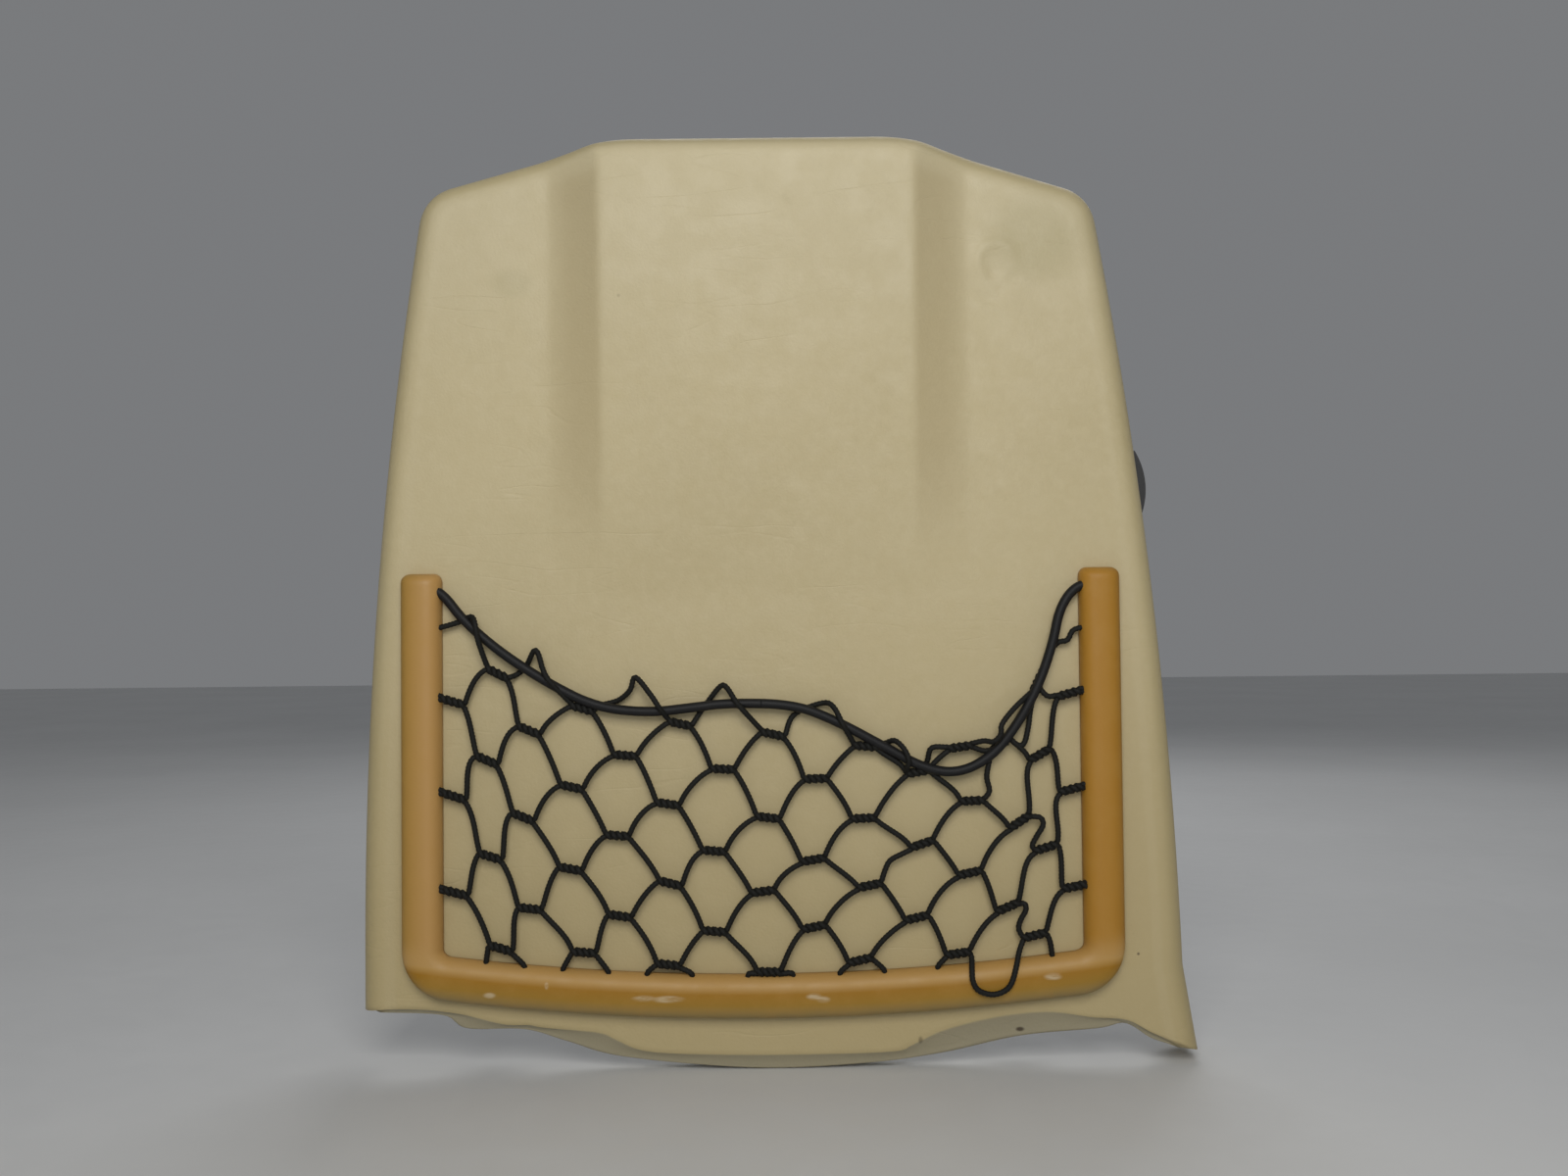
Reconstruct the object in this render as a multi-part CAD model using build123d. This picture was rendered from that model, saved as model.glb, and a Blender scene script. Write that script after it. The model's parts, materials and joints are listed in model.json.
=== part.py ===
from build123d import *
import os
from math import cos, degrees, pi, radians, sin, sqrt, tan

# Rear panel of a car seat's backrest: a moulded shell under foam and leatherette, with a map pocket made of a
# U-shaped moulding, a knotless net and an elastic cord.
#
# Millimetres. +X is to the right and +Z up, as a passenger behind the seat sees the panel, and -Y points at
# that passenger. The origin lies midway between the two lower fixing holes, on the underside of their brackets.
# "Depth" is measured from the panel's flat face towards the seat, so a depth of 0 is the face itself.

# ---------------------------------------------------------------- driving dimensions: panel
FACE_Y = -26.0                    # the flat face, in front of the fixing holes
RIM_DEPTH = 44.0                  # rear rim of the shell
TOP_Z = 549.0
TOP_FLAT_HALF = 94.0              # the top edge is level this far each side of the middle
LEFT_SHOULDER = (-211.5, 516.5)
RIGHT_SHOULDER = (211.5, 512.5)
SHOULDER_R = 28.0
TOP_BEND_R = 60.0
LEFT_MIDDLE = (-241.0, 271.0)     # the left side bows out through here
RIGHT_MIDDLE = (246.0, 271.0)
LEFT_FOOT = (-250.0, 28.0)
RIGHT_FOOT = (262.0, 28.0)        # the right side flares out more than the left
RIGHT_TOE_X = 270.0
BELOW_Z = -60.0                   # below everything
EDGE_R = 18.0                     # rounding of the face into the sides and the top
BOTTOM_LIP_DEPTH = 16.0

# lower edge of the panel from the left: corner, step, flat, tongue, arch and right toe
LOWER_EDGE = [
    (-262, 5), (-232, 5), (-198, 3), (-185, -8), (-148, -9), (-122, -17), (-86, -24), (-6, -31), (60, -29),
    (109, -23), (158, -13), (206, -9), (223, -6), (238, -15), (252, -20), (264, -25), (290, -25),
]

# the middle of the upper half stands proud, to clear the headrest guides of the seat frame
# (height, proud of the face by, half width of its flat front, half width at the foot of its slopes)
CROWN_SECTIONS = [
    (269.0, 0.1, 97.0, 132.0),
    (512.0, 14.0, 97.0, 132.0),
    (530.0, 11.5, 90.0, 108.0),
    (545.0, -7.0, 78.0, 86.0),
]

# layers, as distances in from the outer surface
COVER = (0.0, 1.3)
FOAM = (1.4, 4.4)
SHELL = (4.5, 7.5)
HEM_WIDTH = 8.4
HEM_GAP = 0.1
RIB_WIDTH = 2.4
RIB_DEPTH = 13.0
RIB_X = (-185.0, 185.0)
RIB_Z = (95.0, 200.0, 320.0)

# ---------------------------------------------------------------- driving dimensions: pocket
FRAME_HALF = 222.0                # outside of the U moulding
FRAME_BAR = 25.0
FRAME_PROUD = 13.0
FRAME_TOP_Z = 276.0
FRAME_CORNER_R = 32.0
FRAME_BOTTOM_Z = 1.0              # lowest point of the rail, in the middle
FRAME_RAIL_RISE = 12.0            # the rail curves up this much from the middle to the corners
RAIL_EXTRA = 1.8                  # the rail is this much wider than the arms
FRAME_EDGE_R = 5.5
ARM_END_R = 7.5
GROOVE_FROM_INSIDE = (2.5, 10.5)  # groove at the back of the moulding
GROOVE_DEEP = 9.0
STUD_FROM_INSIDE = 18.5
STUD_R = 2.0
STUD_HOLE_R = 2.6
STUD_LENGTH = 11.0                # from the face into the panel
ARM_STUD_Z = (60.0, 150.0, 240.0)
RAIL_STUD_X = (-120.0, 0.0, 120.0)
NUT_R = 6.5
NUT_THICK = 1.2

NET_DEPTH = (-8.0, -6.0)          # the net hangs in front of the face
NET_SIDE_GAP = 0.6
NET_RAIL_GAP = 3.4
CELL_WIDE = 59.0
CELL_HIGH = 52.0
STRAND = 4.0
NET_CORD_R = 2.0

ELASTIC_R = 2.9
ELASTIC_EXIT_DEPTH = -6.0
ELASTIC_EXIT_Z = 265.0
NET_TOP_BELOW_ELASTIC = 12.0

# the elastic hangs slack from arm to arm: (x, depth, z) of each bend, meeting level in the middle
ELASTIC_LEFT = [
    (-194, -6.4, 263), (-183, -7.6, 247), (-160, -8.3, 227), (-131, -8.5, 208), (-102, -8.4, 193),
    (-70, -8.6, 189), (-42, -8.5, 192), (-20, -8.5, 194.6), (0, -8.5, 194),
]
ELASTIC_RIGHT = [
    (0, -8.5, 194), (20, -8.5, 193.4), (46, -8.6, 183), (75, -8.5, 167), (100, -8.4, 153), (121, -8.5, 150),
    (141, -8.6, 160), (156, -8.5, 178), (170, -8.4, 202), (180, -8.0, 230), (185, -7.4, 252), (194, -6.4, 262.5),
]

# ---------------------------------------------------------------- driving dimensions: fixings
LOWER_HOLE_X = 159.0
LOWER_HOLE_R = 2.75
BRACKET_THICK = 2.5
BRACKET_WIDE = 34.0
BRACKET_FRONT_DEPTH = 8.0
BRACKET_BACK_DEPTH = 38.0
BRACKET_HIGH = 26.0
UPPER_HOOK_X = 148.0
UPPER_HOOK_Z = 466.0
HOOK_WIDE = 26.0
HOOK_PLATE_HIGH = 44.0
HOOK_THICK = 2.0
HOOK_REACH = 22.0
HOOK_DROP = 24.0
DISC_R = 16.5
DISC_THICK = 1.2
RIVET_R = 1.9
RIVET_HOLE_R = 2.0
RIVET_HEAD_R = 4.0
RIVET_HEAD_HIGH = 1.5
SIDE_HOOK_Z = 333.0
SIDE_HOOK_HIGH = 42.0
SIDE_HOOK_THICK = 4.0
SIDE_HOOK_FOOT_X = {-1: 225.2, 1: 227.2}     # the foot's outer face, against the side wall
SIDE_HOOK_FOOT_THICK = 3.0
SIDE_HOOK_REACH_X = {-1: 234.0, 1: 252.0}    # the finger's outermost point
SIDE_SCREW_DEPTH = RIM_DEPTH - 15.0
SIDE_SCREW_Z = (SIDE_HOOK_Z - 7.0, SIDE_HOOK_Z + 7.0)
SIDE_SCREW_R = 1.9
SIDE_SCREW_LONG = 8.0
STIFFENER_Z = 395.0
STIFFENER_HALF = 172.0
STAPLE_PITCH = 46.0
STAPLE_INSET = 6.0                # from the outer surface, over the shell's rim


def y_at(depth):
    """Y of a depth behind the panel's face."""
    return FACE_Y + depth


def facing(depth):
    """A drawing plane parallel to the face: its x is +X, its y is +Z and it looks at the passenger."""
    return Plane(origin=(0, y_at(depth), 0), x_dir=(1, 0, 0), z_dir=(0, -1, 0))


def slab(outline, front, back):
    """Thicken a flat outline, drawn in x and z, from one depth to another."""
    return extrude(facing(back) * outline, amount=back - front)


def box(x_range, depth_range, z_range):
    """A block between two values on each axis, its Y given as depths."""
    size = [b - a for a, b in (x_range, depth_range, z_range)]
    middle = ((x_range[0] + x_range[1]) / 2, y_at(sum(depth_range) / 2), (z_range[0] + z_range[1]) / 2)
    return Pos(*middle) * Box(*size)


def rod(x, z, front, back, radius):
    """A round rod along Y between two depths."""
    return slab(Pos(x, z) * Circle(radius), front, back)


def joined(solids):
    """One group of separate solids."""
    return Compound(children=[solid for shape in solids for solid in shape.solids()])


# ---------------------------------------------------------------- panel


def panel_outline(inset):
    """The panel seen from the front, open-ended downwards, shrunk by an inset."""
    left = ThreePointArc(LEFT_SHOULDER, LEFT_MIDDLE, LEFT_FOOT)
    right = ThreePointArc(RIGHT_FOOT, RIGHT_MIDDLE, RIGHT_SHOULDER)
    rest = Polyline(
        LEFT_FOOT, (LEFT_FOOT[0], BELOW_Z), (RIGHT_TOE_X + 8, BELOW_Z), (RIGHT_TOE_X, -20), RIGHT_FOOT
    )
    top = Polyline(RIGHT_SHOULDER, (TOP_FLAT_HALF, TOP_Z), (-TOP_FLAT_HALF, TOP_Z), LEFT_SHOULDER)
    face = make_face([*left.edges(), *rest.edges(), *right.edges(), *top.edges()])
    corners = face.vertices().sort_by(Axis.Y)
    face = fillet(corners[-2:], TOP_BEND_R)
    shoulders = [v for v in face.vertices() if 505 < v.Y < 520]
    face = fillet(shoulders, SHOULDER_R)
    return offset(face, amount=-inset, kind=Kind.INTERSECTION) if inset else face


def below_lower_edge(rise):
    """Everything under the panel's lower edge, the edge being raised by an amount."""
    points = [(x, z + rise) for x, z in LOWER_EDGE]
    edge = Spline(*points)
    closing = Polyline(points[-1], (points[-1][0], BELOW_Z - 5), (points[0][0], BELOW_Z - 5), points[0])
    return make_face([*edge.edges(), *closing.edges()])


def crown(inset):
    """The proud middle of the upper half."""
    sections = []
    narrower = inset * 0.27
    for z, proud, flat_half, foot_half in CROWN_SECTIONS:
        flat = flat_half - narrower
        foot = foot_half - narrower
        front = y_at(inset - proud)
        edge = y_at(max(inset, inset - proud))
        back = y_at(inset + 12)
        outline = Polyline(
            (-foot, back), (-foot, edge), (-flat, front), (flat, front), (foot, edge), (foot, back), close=True
        )
        height = z if proud == CROWN_SECTIONS[0][1] else z - inset
        sections.append(Pos(0, 0, height) * make_face(outline.edges()))
    return loft(sections, ruled=True)


def panel_block(inset, rim_depth=RIM_DEPTH):
    """The whole panel as a filled block, shrunk by an inset on every side but the rear."""
    block = slab(panel_outline(inset), inset, rim_depth)
    front = [e for e in block.edges() if abs(e.center().Y - y_at(inset)) < 0.01 and e.center().Z > BELOW_Z + 1]
    block = fillet(front, EDGE_R - inset)
    block = block + crown(inset)
    return block - slab(below_lower_edge(inset), inset - 20, rim_depth + 1)


def underside_opening(rim_depth):
    """Behind the short bottom lip the panel is open downwards."""
    return box((-238, 248), (BOTTOM_LIP_DEPTH, rim_depth + 5), (BELOW_Z, 20))


def stud_places():
    """(x, z) of the moulding's studs, each arm's and the rail's."""
    side = FRAME_HALF - FRAME_BAR + STUD_FROM_INSIDE
    arms = [(x, z) for x in (-side, side) for z in ARM_STUD_Z]
    rail = [(x, rail_z(x) + FRAME_BAR - STUD_FROM_INSIDE) for x in RAIL_STUD_X]
    return arms + rail


def rail_radius():
    chord = FRAME_HALF - FRAME_CORNER_R
    return (chord**2 + FRAME_RAIL_RISE**2) / (2 * FRAME_RAIL_RISE)


def rail_z(x):
    """Height of the rail's lower edge."""
    radius = rail_radius()
    return FRAME_BOTTOM_Z + radius - sqrt(radius**2 - x**2)


def upper_rivet_places():
    """Three rivets in each upper hook's plate."""
    return [
        (side * UPPER_HOOK_X + dx, UPPER_HOOK_Z + dz)
        for side in (-1, 1)
        for dx, dz in ((-8, 10), (8, 10), (0, -10))
    ]


def bracket_rivet_places():
    return [(side * LOWER_HOLE_X + dx, 15.0) for side in (-1, 1) for dx in (-10, 10)]


def stiffener_rivet_places():
    return [(side * x, STIFFENER_Z + dz) for side in (-1, 1) for x in (150, 165) for dz in (-13, 13)]


def leather_cover():
    body = panel_block(COVER[0], RIM_DEPTH + HEM_GAP + COVER[1])
    body = body - panel_block(COVER[1], RIM_DEPTH + HEM_GAP)
    mouth = slab(panel_outline(HEM_WIDTH), RIM_DEPTH, RIM_DEPTH + 3)
    body = body - mouth - underside_opening(RIM_DEPTH)
    for x, z in stud_places():
        body = body - rod(x, z, -2, 6, STUD_HOLE_R)
    return body


def foam_padding():
    body = panel_block(FOAM[0]) - panel_block(FOAM[1], RIM_DEPTH + 1) - underside_opening(RIM_DEPTH)
    for x, z in stud_places():
        body = body - rod(x, z, -2, 8, STUD_HOLE_R)
    for side in (-1, 1):
        body = body - rod(side * UPPER_HOOK_X, UPPER_HOOK_Z, SHELL[0] - DISC_THICK - 0.2, 6, DISC_R + 0.2)
    return body


def backing_shell():
    body = panel_block(SHELL[0]) - panel_block(SHELL[1], RIM_DEPTH + 1)
    ribs = [box((x - RIB_WIDTH / 2, x + RIB_WIDTH / 2), (-20, RIB_DEPTH), (30, 420)) for x in RIB_X]
    ribs += [box((-238, 246), (-20, RIB_DEPTH), (z - RIB_WIDTH / 2, z + RIB_WIDTH / 2)) for z in RIB_Z]
    inside = panel_block(SHELL[0] + 0.6)
    for rib in ribs:
        body = body + (rib & inside)
    body = body - underside_opening(RIM_DEPTH)
    for x, z in stud_places():
        body = body - rod(x, z, 2, 20, STUD_HOLE_R)
    for x, z in upper_rivet_places() + bracket_rivet_places() + stiffener_rivet_places():
        body = body - rod(x, z, 2, 20, RIVET_HOLE_R)
    for side in (-1, 1):
        body = body - side_screw_holes(side)
    return body


# ---------------------------------------------------------------- pocket moulding


def frame_area(inset, lift=0.0):
    """All that the U encloses, shrunk by an inset and raised, open-ended upwards."""
    chord = FRAME_HALF - FRAME_CORNER_R
    high = 420.0
    corner_z = FRAME_BOTTOM_Z + FRAME_RAIL_RISE
    swing = radians(45)
    centre = (chord, corner_z + FRAME_CORNER_R)
    bend = (centre[0] + FRAME_CORNER_R * sin(swing), centre[1] - FRAME_CORNER_R * cos(swing))
    right = ThreePointArc((chord, corner_z), bend, (FRAME_HALF, centre[1]))
    left = ThreePointArc((-FRAME_HALF, centre[1]), (-bend[0], bend[1]), (-chord, corner_z))
    rail = ThreePointArc((-chord, corner_z), (0, FRAME_BOTTOM_Z), (chord, corner_z))
    top = Polyline((FRAME_HALF, centre[1]), (FRAME_HALF, high), (-FRAME_HALF, high), (-FRAME_HALF, centre[1]))
    area = make_face([*left.edges(), *rail.edges(), *right.edges(), *top.edges()])
    area = offset(area, amount=-inset, kind=Kind.ARC) if inset else area
    return Pos(0, lift) * area


def frame_band(from_inside, to_inside, top_z):
    """A U-shaped band of the moulding, given by distances from its inner edge."""
    band = frame_area(FRAME_BAR - to_inside, RAIL_EXTRA) - frame_area(FRAME_BAR - from_inside, RAIL_EXTRA)
    return band & (Pos(0, top_z - 300) * Rectangle(600, 600))


def pocket_frame():
    band = frame_area(0) - frame_area(FRAME_BAR, RAIL_EXTRA)
    band = band & (Pos(0, FRAME_TOP_Z - 300) * Rectangle(600, 600))
    ends = [v for v in band.vertices() if abs(v.Y - FRAME_TOP_Z) < 0.01]
    band = fillet(ends, ARM_END_R)
    body = slab(band, -FRAME_PROUD, 0)
    front = [e for e in body.edges() if abs(e.center().Y - y_at(-FRAME_PROUD)) < 0.01]
    body = fillet(front, FRAME_EDGE_R)
    body = body - slab(frame_band(*GROOVE_FROM_INSIDE, FRAME_TOP_Z - 4), -GROOVE_DEEP, 1)
    for side in (-1, 1):
        wall = side * (FRAME_HALF - FRAME_BAR + GROOVE_FROM_INSIDE[0] / 2)
        hole = Pos(wall, y_at(ELASTIC_EXIT_DEPTH), ELASTIC_EXIT_Z) * Rot(0, 90, 0) * Cylinder(2.4, 6)
        body = body - hole
    for x, z in stud_places():
        body = body + rod(x, z, -4, STUD_LENGTH, STUD_R)
    return body


def frame_push_nuts():
    nuts = []
    for x, z in stud_places():
        seat = SHELL[1] + 0.1
        nuts.append(rod(x, z, seat, seat + NUT_THICK, NUT_R) - rod(x, z, 6, 12, STUD_R + 0.03))
    return joined(nuts)


def net_clamp_strip():
    low, high = GROOVE_FROM_INSIDE
    return slab(frame_band(low + 0.5, high - 0.5, FRAME_TOP_Z - 34), -2.7, -0.3)


def net_edge_cord():
    middle = sum(GROOVE_FROM_INSIDE) / 2
    line = frame_area(FRAME_BAR - middle, RAIL_EXTRA)
    top = FRAME_TOP_Z - 36
    edges = [e for e in (facing(-5.6) * line).edges() if e.center().Z < 300]
    path = Wire(edges)
    start = path.position_at(0)
    body = sweep(Plane(origin=start, z_dir=path.tangent_at(0)) * Circle(NET_CORD_R), path=path)
    return body & box((-300, 300), (-20, 5), (-50, top))


# ---------------------------------------------------------------- net and elastic


def route(points):
    """A cord's line: straight runs joined by arcs as large as the runs allow."""
    bends = [Vector(x, y_at(depth), z) for x, depth, z in points]
    radii = []
    for before, here, after in zip(bends, bends[1:], bends[2:]):
        turn = radians((here - before).get_angle(after - here))
        radii.append(0.45 * min((here - before).length, (after - here).length) / tan(turn / 2))
    print("bend radii, mm:", [round(r, 1) for r in radii])
    return FilletPolyline(*bends, radius=radii)


def elastic_cord(points):
    line = route(points)
    path = Wire(line.edges())
    tube = sweep(Plane(origin=path.position_at(0), z_dir=path.tangent_at(0)) * Circle(ELASTIC_R), path=path)
    print("cord length, mm:", round(path.length, 1), "volume ratio:",
          round(tube.volume / (path.length * pi * ELASTIC_R**2), 4))
    return tube


def elastic_stop(side):
    """Crimped ferrule in the arm's groove, with the cord's end in the hole of the arm's inner wall."""
    low, high = GROOVE_FROM_INSIDE
    inner = FRAME_HALF - FRAME_BAR
    turned = Rot(0, 90, 0)
    height = Pos(0, y_at(ELASTIC_EXIT_DEPTH), ELASTIC_EXIT_Z)
    ferrule = height * Pos(side * (inner + (low + high) / 2), 0, 0) * turned * Cylinder(2.8, high - low - 1)
    tail = height * Pos(side * (inner + (low + 0.6) / 2), 0, 0) * turned * Cylinder(2.2, low + 0.5)
    return ferrule + tail


def hexagon(x, z, wide, high):
    """One mesh of the net: upright sides and slanting joins."""
    quarter = high / 4
    corners = [
        (x - wide / 2, z - quarter), (x, z - 2 * quarter), (x + wide / 2, z - quarter),
        (x + wide / 2, z + quarter), (x, z + 2 * quarter), (x - wide / 2, z + quarter),
    ]
    return make_face(Polyline(*corners, close=True).edges())


def pocket_net():
    """A flat stand-in for the net: its outline, with one six-sided hole for each whole mesh."""
    gap = FRAME_BAR + NET_SIDE_GAP
    inside = frame_area(gap, RAIL_EXTRA + NET_RAIL_GAP - NET_SIDE_GAP)
    top = [(x, z - NET_TOP_BELOW_ELASTIC) for x, _, z in ELASTIC_LEFT + ELASTIC_RIGHT[1:]]
    top[0] = (-220, top[0][1] + 12)
    top[-1] = (220, top[-1][1] + 12)
    under = Polyline(*top, (220, -50), (-220, -50), close=True)
    outline = inside & make_face(under.edges())
    holes = []
    margin = offset(outline, amount=-STRAND, kind=Kind.INTERSECTION)
    row_step = CELL_HIGH * 0.75
    for row in range(8):
        z = 40 + row * row_step
        shift = CELL_WIDE / 2 if row % 2 else 0.0
        for column in range(-4, 5):
            cell = hexagon(column * CELL_WIDE + shift, z, CELL_WIDE - STRAND, CELL_HIGH - STRAND)
            piece = cell & margin
            holes += [face for face in piece.faces() if face.area > 60] if piece else []
    body = slab(outline, *NET_DEPTH)
    for hole in holes:
        body = body - slab(hole, NET_DEPTH[0] - 1, NET_DEPTH[1] + 1)
    return body


# ---------------------------------------------------------------- fixings


def rivets(places, plate_back):
    """Rivets along Y, flush in the shell's front and headed on the plate behind it."""
    pins = []
    for x, z in places:
        shank = rod(x, z, SHELL[0], plate_back, RIVET_R)
        head = rod(x, z, plate_back, plate_back + RIVET_HEAD_HIGH, RIVET_HEAD_R)
        pins.append(shank + head)
    return joined(pins)


def upper_hook(side):
    """Sheet-steel hook that hangs over the seat frame's cross tube."""
    seat = SHELL[1] + 0.1
    x_range = (side * UPPER_HOOK_X - HOOK_WIDE / 2, side * UPPER_HOOK_X + HOOK_WIDE / 2)
    low = UPPER_HOOK_Z - HOOK_PLATE_HIGH / 2
    high = UPPER_HOOK_Z + HOOK_PLATE_HIGH / 2
    plate = box(x_range, (seat, seat + HOOK_THICK), (low, high))
    arm_depth = (seat, seat + HOOK_REACH)
    arm = box(x_range, arm_depth, (high - HOOK_THICK, high))
    tip = box(x_range, (arm_depth[1] - HOOK_THICK, arm_depth[1]), (high - HOOK_DROP, high))
    body = plate + arm + tip
    corners = [e for e in body.edges() if abs(e.length - HOOK_WIDE) < 0.01 and e.center().Z > high - 0.01]
    body = fillet(corners, 1.8)
    for x, z in upper_rivet_places():
        if x * side > 0:
            body = body - rod(x, z, 5, seat + 5, RIVET_HOLE_R)
    return body


def upper_backing_discs():
    """Round plates between foam and shell that spread the pull of the upper hooks."""
    discs = []
    for side in (-1, 1):
        disc = rod(side * UPPER_HOOK_X, UPPER_HOOK_Z, SHELL[0] - DISC_THICK - 0.1, SHELL[0] - 0.1, DISC_R)
        discs.append(disc)
    return joined(discs)


def lower_bracket(side):
    """Steel angle with the lower fixing hole in its level leg."""
    x = side * LOWER_HOLE_X
    x_range = (x - BRACKET_WIDE / 2, x + BRACKET_WIDE / 2)
    upright = box(x_range, (BRACKET_FRONT_DEPTH, BRACKET_FRONT_DEPTH + BRACKET_THICK), (0, BRACKET_HIGH))
    level = box(x_range, (BRACKET_FRONT_DEPTH, BRACKET_BACK_DEPTH), (0, BRACKET_THICK))
    body = upright + level
    hole = Pos(x, 0, BRACKET_THICK / 2) * Cylinder(LOWER_HOLE_R, BRACKET_THICK + 2)
    body = body - hole
    for rivet_x, z in bracket_rivet_places():
        body = body - rod(rivet_x, z, 5, 15, RIVET_HOLE_R)
    return body


def lower_speed_nuts():
    nuts = []
    for side in (-1, 1):
        plate = Pos(side * LOWER_HOLE_X, 0, BRACKET_THICK + 0.9) * Box(16, 14, 1.6)
        thread = Pos(side * LOWER_HOLE_X, 0, BRACKET_THICK + 0.9) * Cylinder(2.4, 4)
        nuts.append(plate - thread)
    return joined(nuts)


def cross_stiffener():
    """Pressed channel across the back of the shell, under the headrest guides."""
    seat = SHELL[1] + 0.1
    half = STIFFENER_HALF
    flanges = box((-half, half), (seat, seat + 1.5), (STIFFENER_Z - 18, STIFFENER_Z + 18))
    web = box((-half, half), (seat, seat + 9), (STIFFENER_Z - 8, STIFFENER_Z + 8))
    hollow = box((-half - 1, half + 1), (seat - 1, seat + 7.5), (STIFFENER_Z - 6.5, STIFFENER_Z + 6.5))
    body = flanges + web - hollow
    for x, z in stiffener_rivet_places():
        body = body - rod(x, z, 5, seat + 4, RIVET_HOLE_R)
    return body


def side_hook(side):
    """Plastic hook behind the rim: a leaf-shaped finger on a foot that is screwed inside the side wall."""
    half = SIDE_HOOK_HIGH / 2
    outer_x = side * SIDE_HOOK_REACH_X[side]
    tip_x = outer_x - side * 2.5
    root_x = outer_x - side * 6.5
    inner_x = side * (SIDE_HOOK_FOOT_X[side] - SIDE_HOOK_FOOT_THICK)
    outside = ThreePointArc((root_x, half), (outer_x, 2), (tip_x, -half))
    inside = Polyline((tip_x, -half), (inner_x, -half + 8), (inner_x, half - 6), (root_x, half))
    leaf = Pos(0, SIDE_HOOK_Z) * make_face([*outside.edges(), *inside.edges()])
    finger = slab(leaf, RIM_DEPTH + 2.5, RIM_DEPTH + 2.5 + SIDE_HOOK_THICK)
    near, far = sorted((inner_x, side * SIDE_HOOK_FOOT_X[side]))
    foot = box((near, far), (RIM_DEPTH - 26, RIM_DEPTH + 3.5), (SIDE_HOOK_Z - 13, SIDE_HOOK_Z + 13))
    return finger + foot - side_screw_holes(side)


def side_screw_holes(side):
    """Clearance for the side hook's screws, from inside the panel to just short of the foam."""
    start = SIDE_HOOK_FOOT_X[side] - SIDE_HOOK_FOOT_THICK - 2
    length = SIDE_SCREW_LONG + 2.3
    turned = Rot(0, 90, 0)
    holes = [
        Pos(side * (start + length / 2), y_at(SIDE_SCREW_DEPTH), z) * turned * Cylinder(SIDE_SCREW_R + 0.1, length)
        for z in SIDE_SCREW_Z
    ]
    return holes[0] + holes[1]


def side_hook_screws():
    """Two pan-head screws through each side hook's foot into the side wall."""
    screws = []
    for side in (-1, 1):
        for z in SIDE_SCREW_Z:
            under_head = side * (SIDE_HOOK_FOOT_X[side] - SIDE_HOOK_FOOT_THICK - 0.1)
            place = Pos(under_head, y_at(SIDE_SCREW_DEPTH), z) * Rot(0, 90 * side, 0)
            head = Pos(0, 0, -1.1) * Cylinder(3.6, 2.2)
            shank = Pos(0, 0, SIDE_SCREW_LONG / 2) * Cylinder(SIDE_SCREW_R, SIDE_SCREW_LONG)
            screws.append(place * (head + shank))
    return joined(screws)


def anti_rattle_pads():
    """Felt pads on the shell's back."""
    pads = []
    for x in (-105.0, 105.0):
        for z in (120.0, 250.0):
            pads.append(box((x - 24, x + 24), (SHELL[1] + 0.1, SHELL[1] + 4.1), (z - 11, z + 11)))
    return joined(pads)


def hem_staples():
    """Staples through the turned-in hem, up both sides and across the top."""
    staples = []
    crown_depth = RIM_DEPTH + HEM_GAP + COVER[1]
    line = Wire((offset(panel_outline(0), amount=-STAPLE_INSET, kind=Kind.INTERSECTION)).edges())
    count = int(line.length / STAPLE_PITCH)
    for index in range(count):
        place = line.position_at(index / count)
        along = line.tangent_at(index / count)
        if place.Y < 45:
            continue
        turn = degrees(Vector(1, 0, 0).get_signed_angle(along, Vector(0, 0, 1)) * pi / 180)
        wire = Box(9.0, 0.8, 0.8)
        legs = [Pos(dx, 0, -2.4) * Box(0.8, 0.8, 4.8) for dx in (-4.1, 4.1)]
        staple = wire + legs[0] + legs[1]
        spot = facing(crown_depth + 0.4) * Pos(place.X, place.Y, 0) * Rot(0, 0, turn) * Rot(180, 0, 0)
        staples.append(spot * staple)
    return joined(staples)


PARTS = {
    "leather_cover": leather_cover,
    "foam_padding": foam_padding,
    "backing_shell": backing_shell,
    "cross_stiffener": cross_stiffener,
    "stiffener_rivets": lambda: rivets(stiffener_rivet_places(), SHELL[1] + 1.6),
    "pocket_frame": pocket_frame,
    "frame_push_nuts": frame_push_nuts,
    "net_clamp_strip": net_clamp_strip,
    "net_edge_cord": net_edge_cord,
    "pocket_net": pocket_net,
    "elastic_cord_left": lambda: elastic_cord(ELASTIC_LEFT),
    "elastic_cord_right": lambda: elastic_cord(ELASTIC_RIGHT),
    "elastic_stop_left": lambda: elastic_stop(-1),
    "elastic_stop_right": lambda: elastic_stop(1),
    "upper_hook_left": lambda: upper_hook(-1),
    "upper_hook_right": lambda: upper_hook(1),
    "upper_backing_discs": upper_backing_discs,
    "upper_hook_rivets": lambda: rivets(upper_rivet_places(), SHELL[1] + 0.1 + HOOK_THICK),
    "side_hook_left": lambda: side_hook(-1),
    "side_hook_right": lambda: side_hook(1),
    "side_hook_screws": side_hook_screws,
    "lower_bracket_left": lambda: lower_bracket(-1),
    "lower_bracket_right": lambda: lower_bracket(1),
    "lower_bracket_rivets": lambda: rivets(bracket_rivet_places(), BRACKET_FRONT_DEPTH + BRACKET_THICK),
    "lower_speed_nuts": lower_speed_nuts,
    "anti_rattle_pads": anti_rattle_pads,
    "hem_staples": hem_staples,
}

os.makedirs("parts", exist_ok=True)
for name, make in PARTS.items():
    export_step(make(), f"parts/{name}.step")
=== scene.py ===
import json
from math import atan, cos, pi, radians, sin, sqrt

import bpy
import numpy as np
from mathutils import Euler, Matrix, Vector, noise


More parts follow.
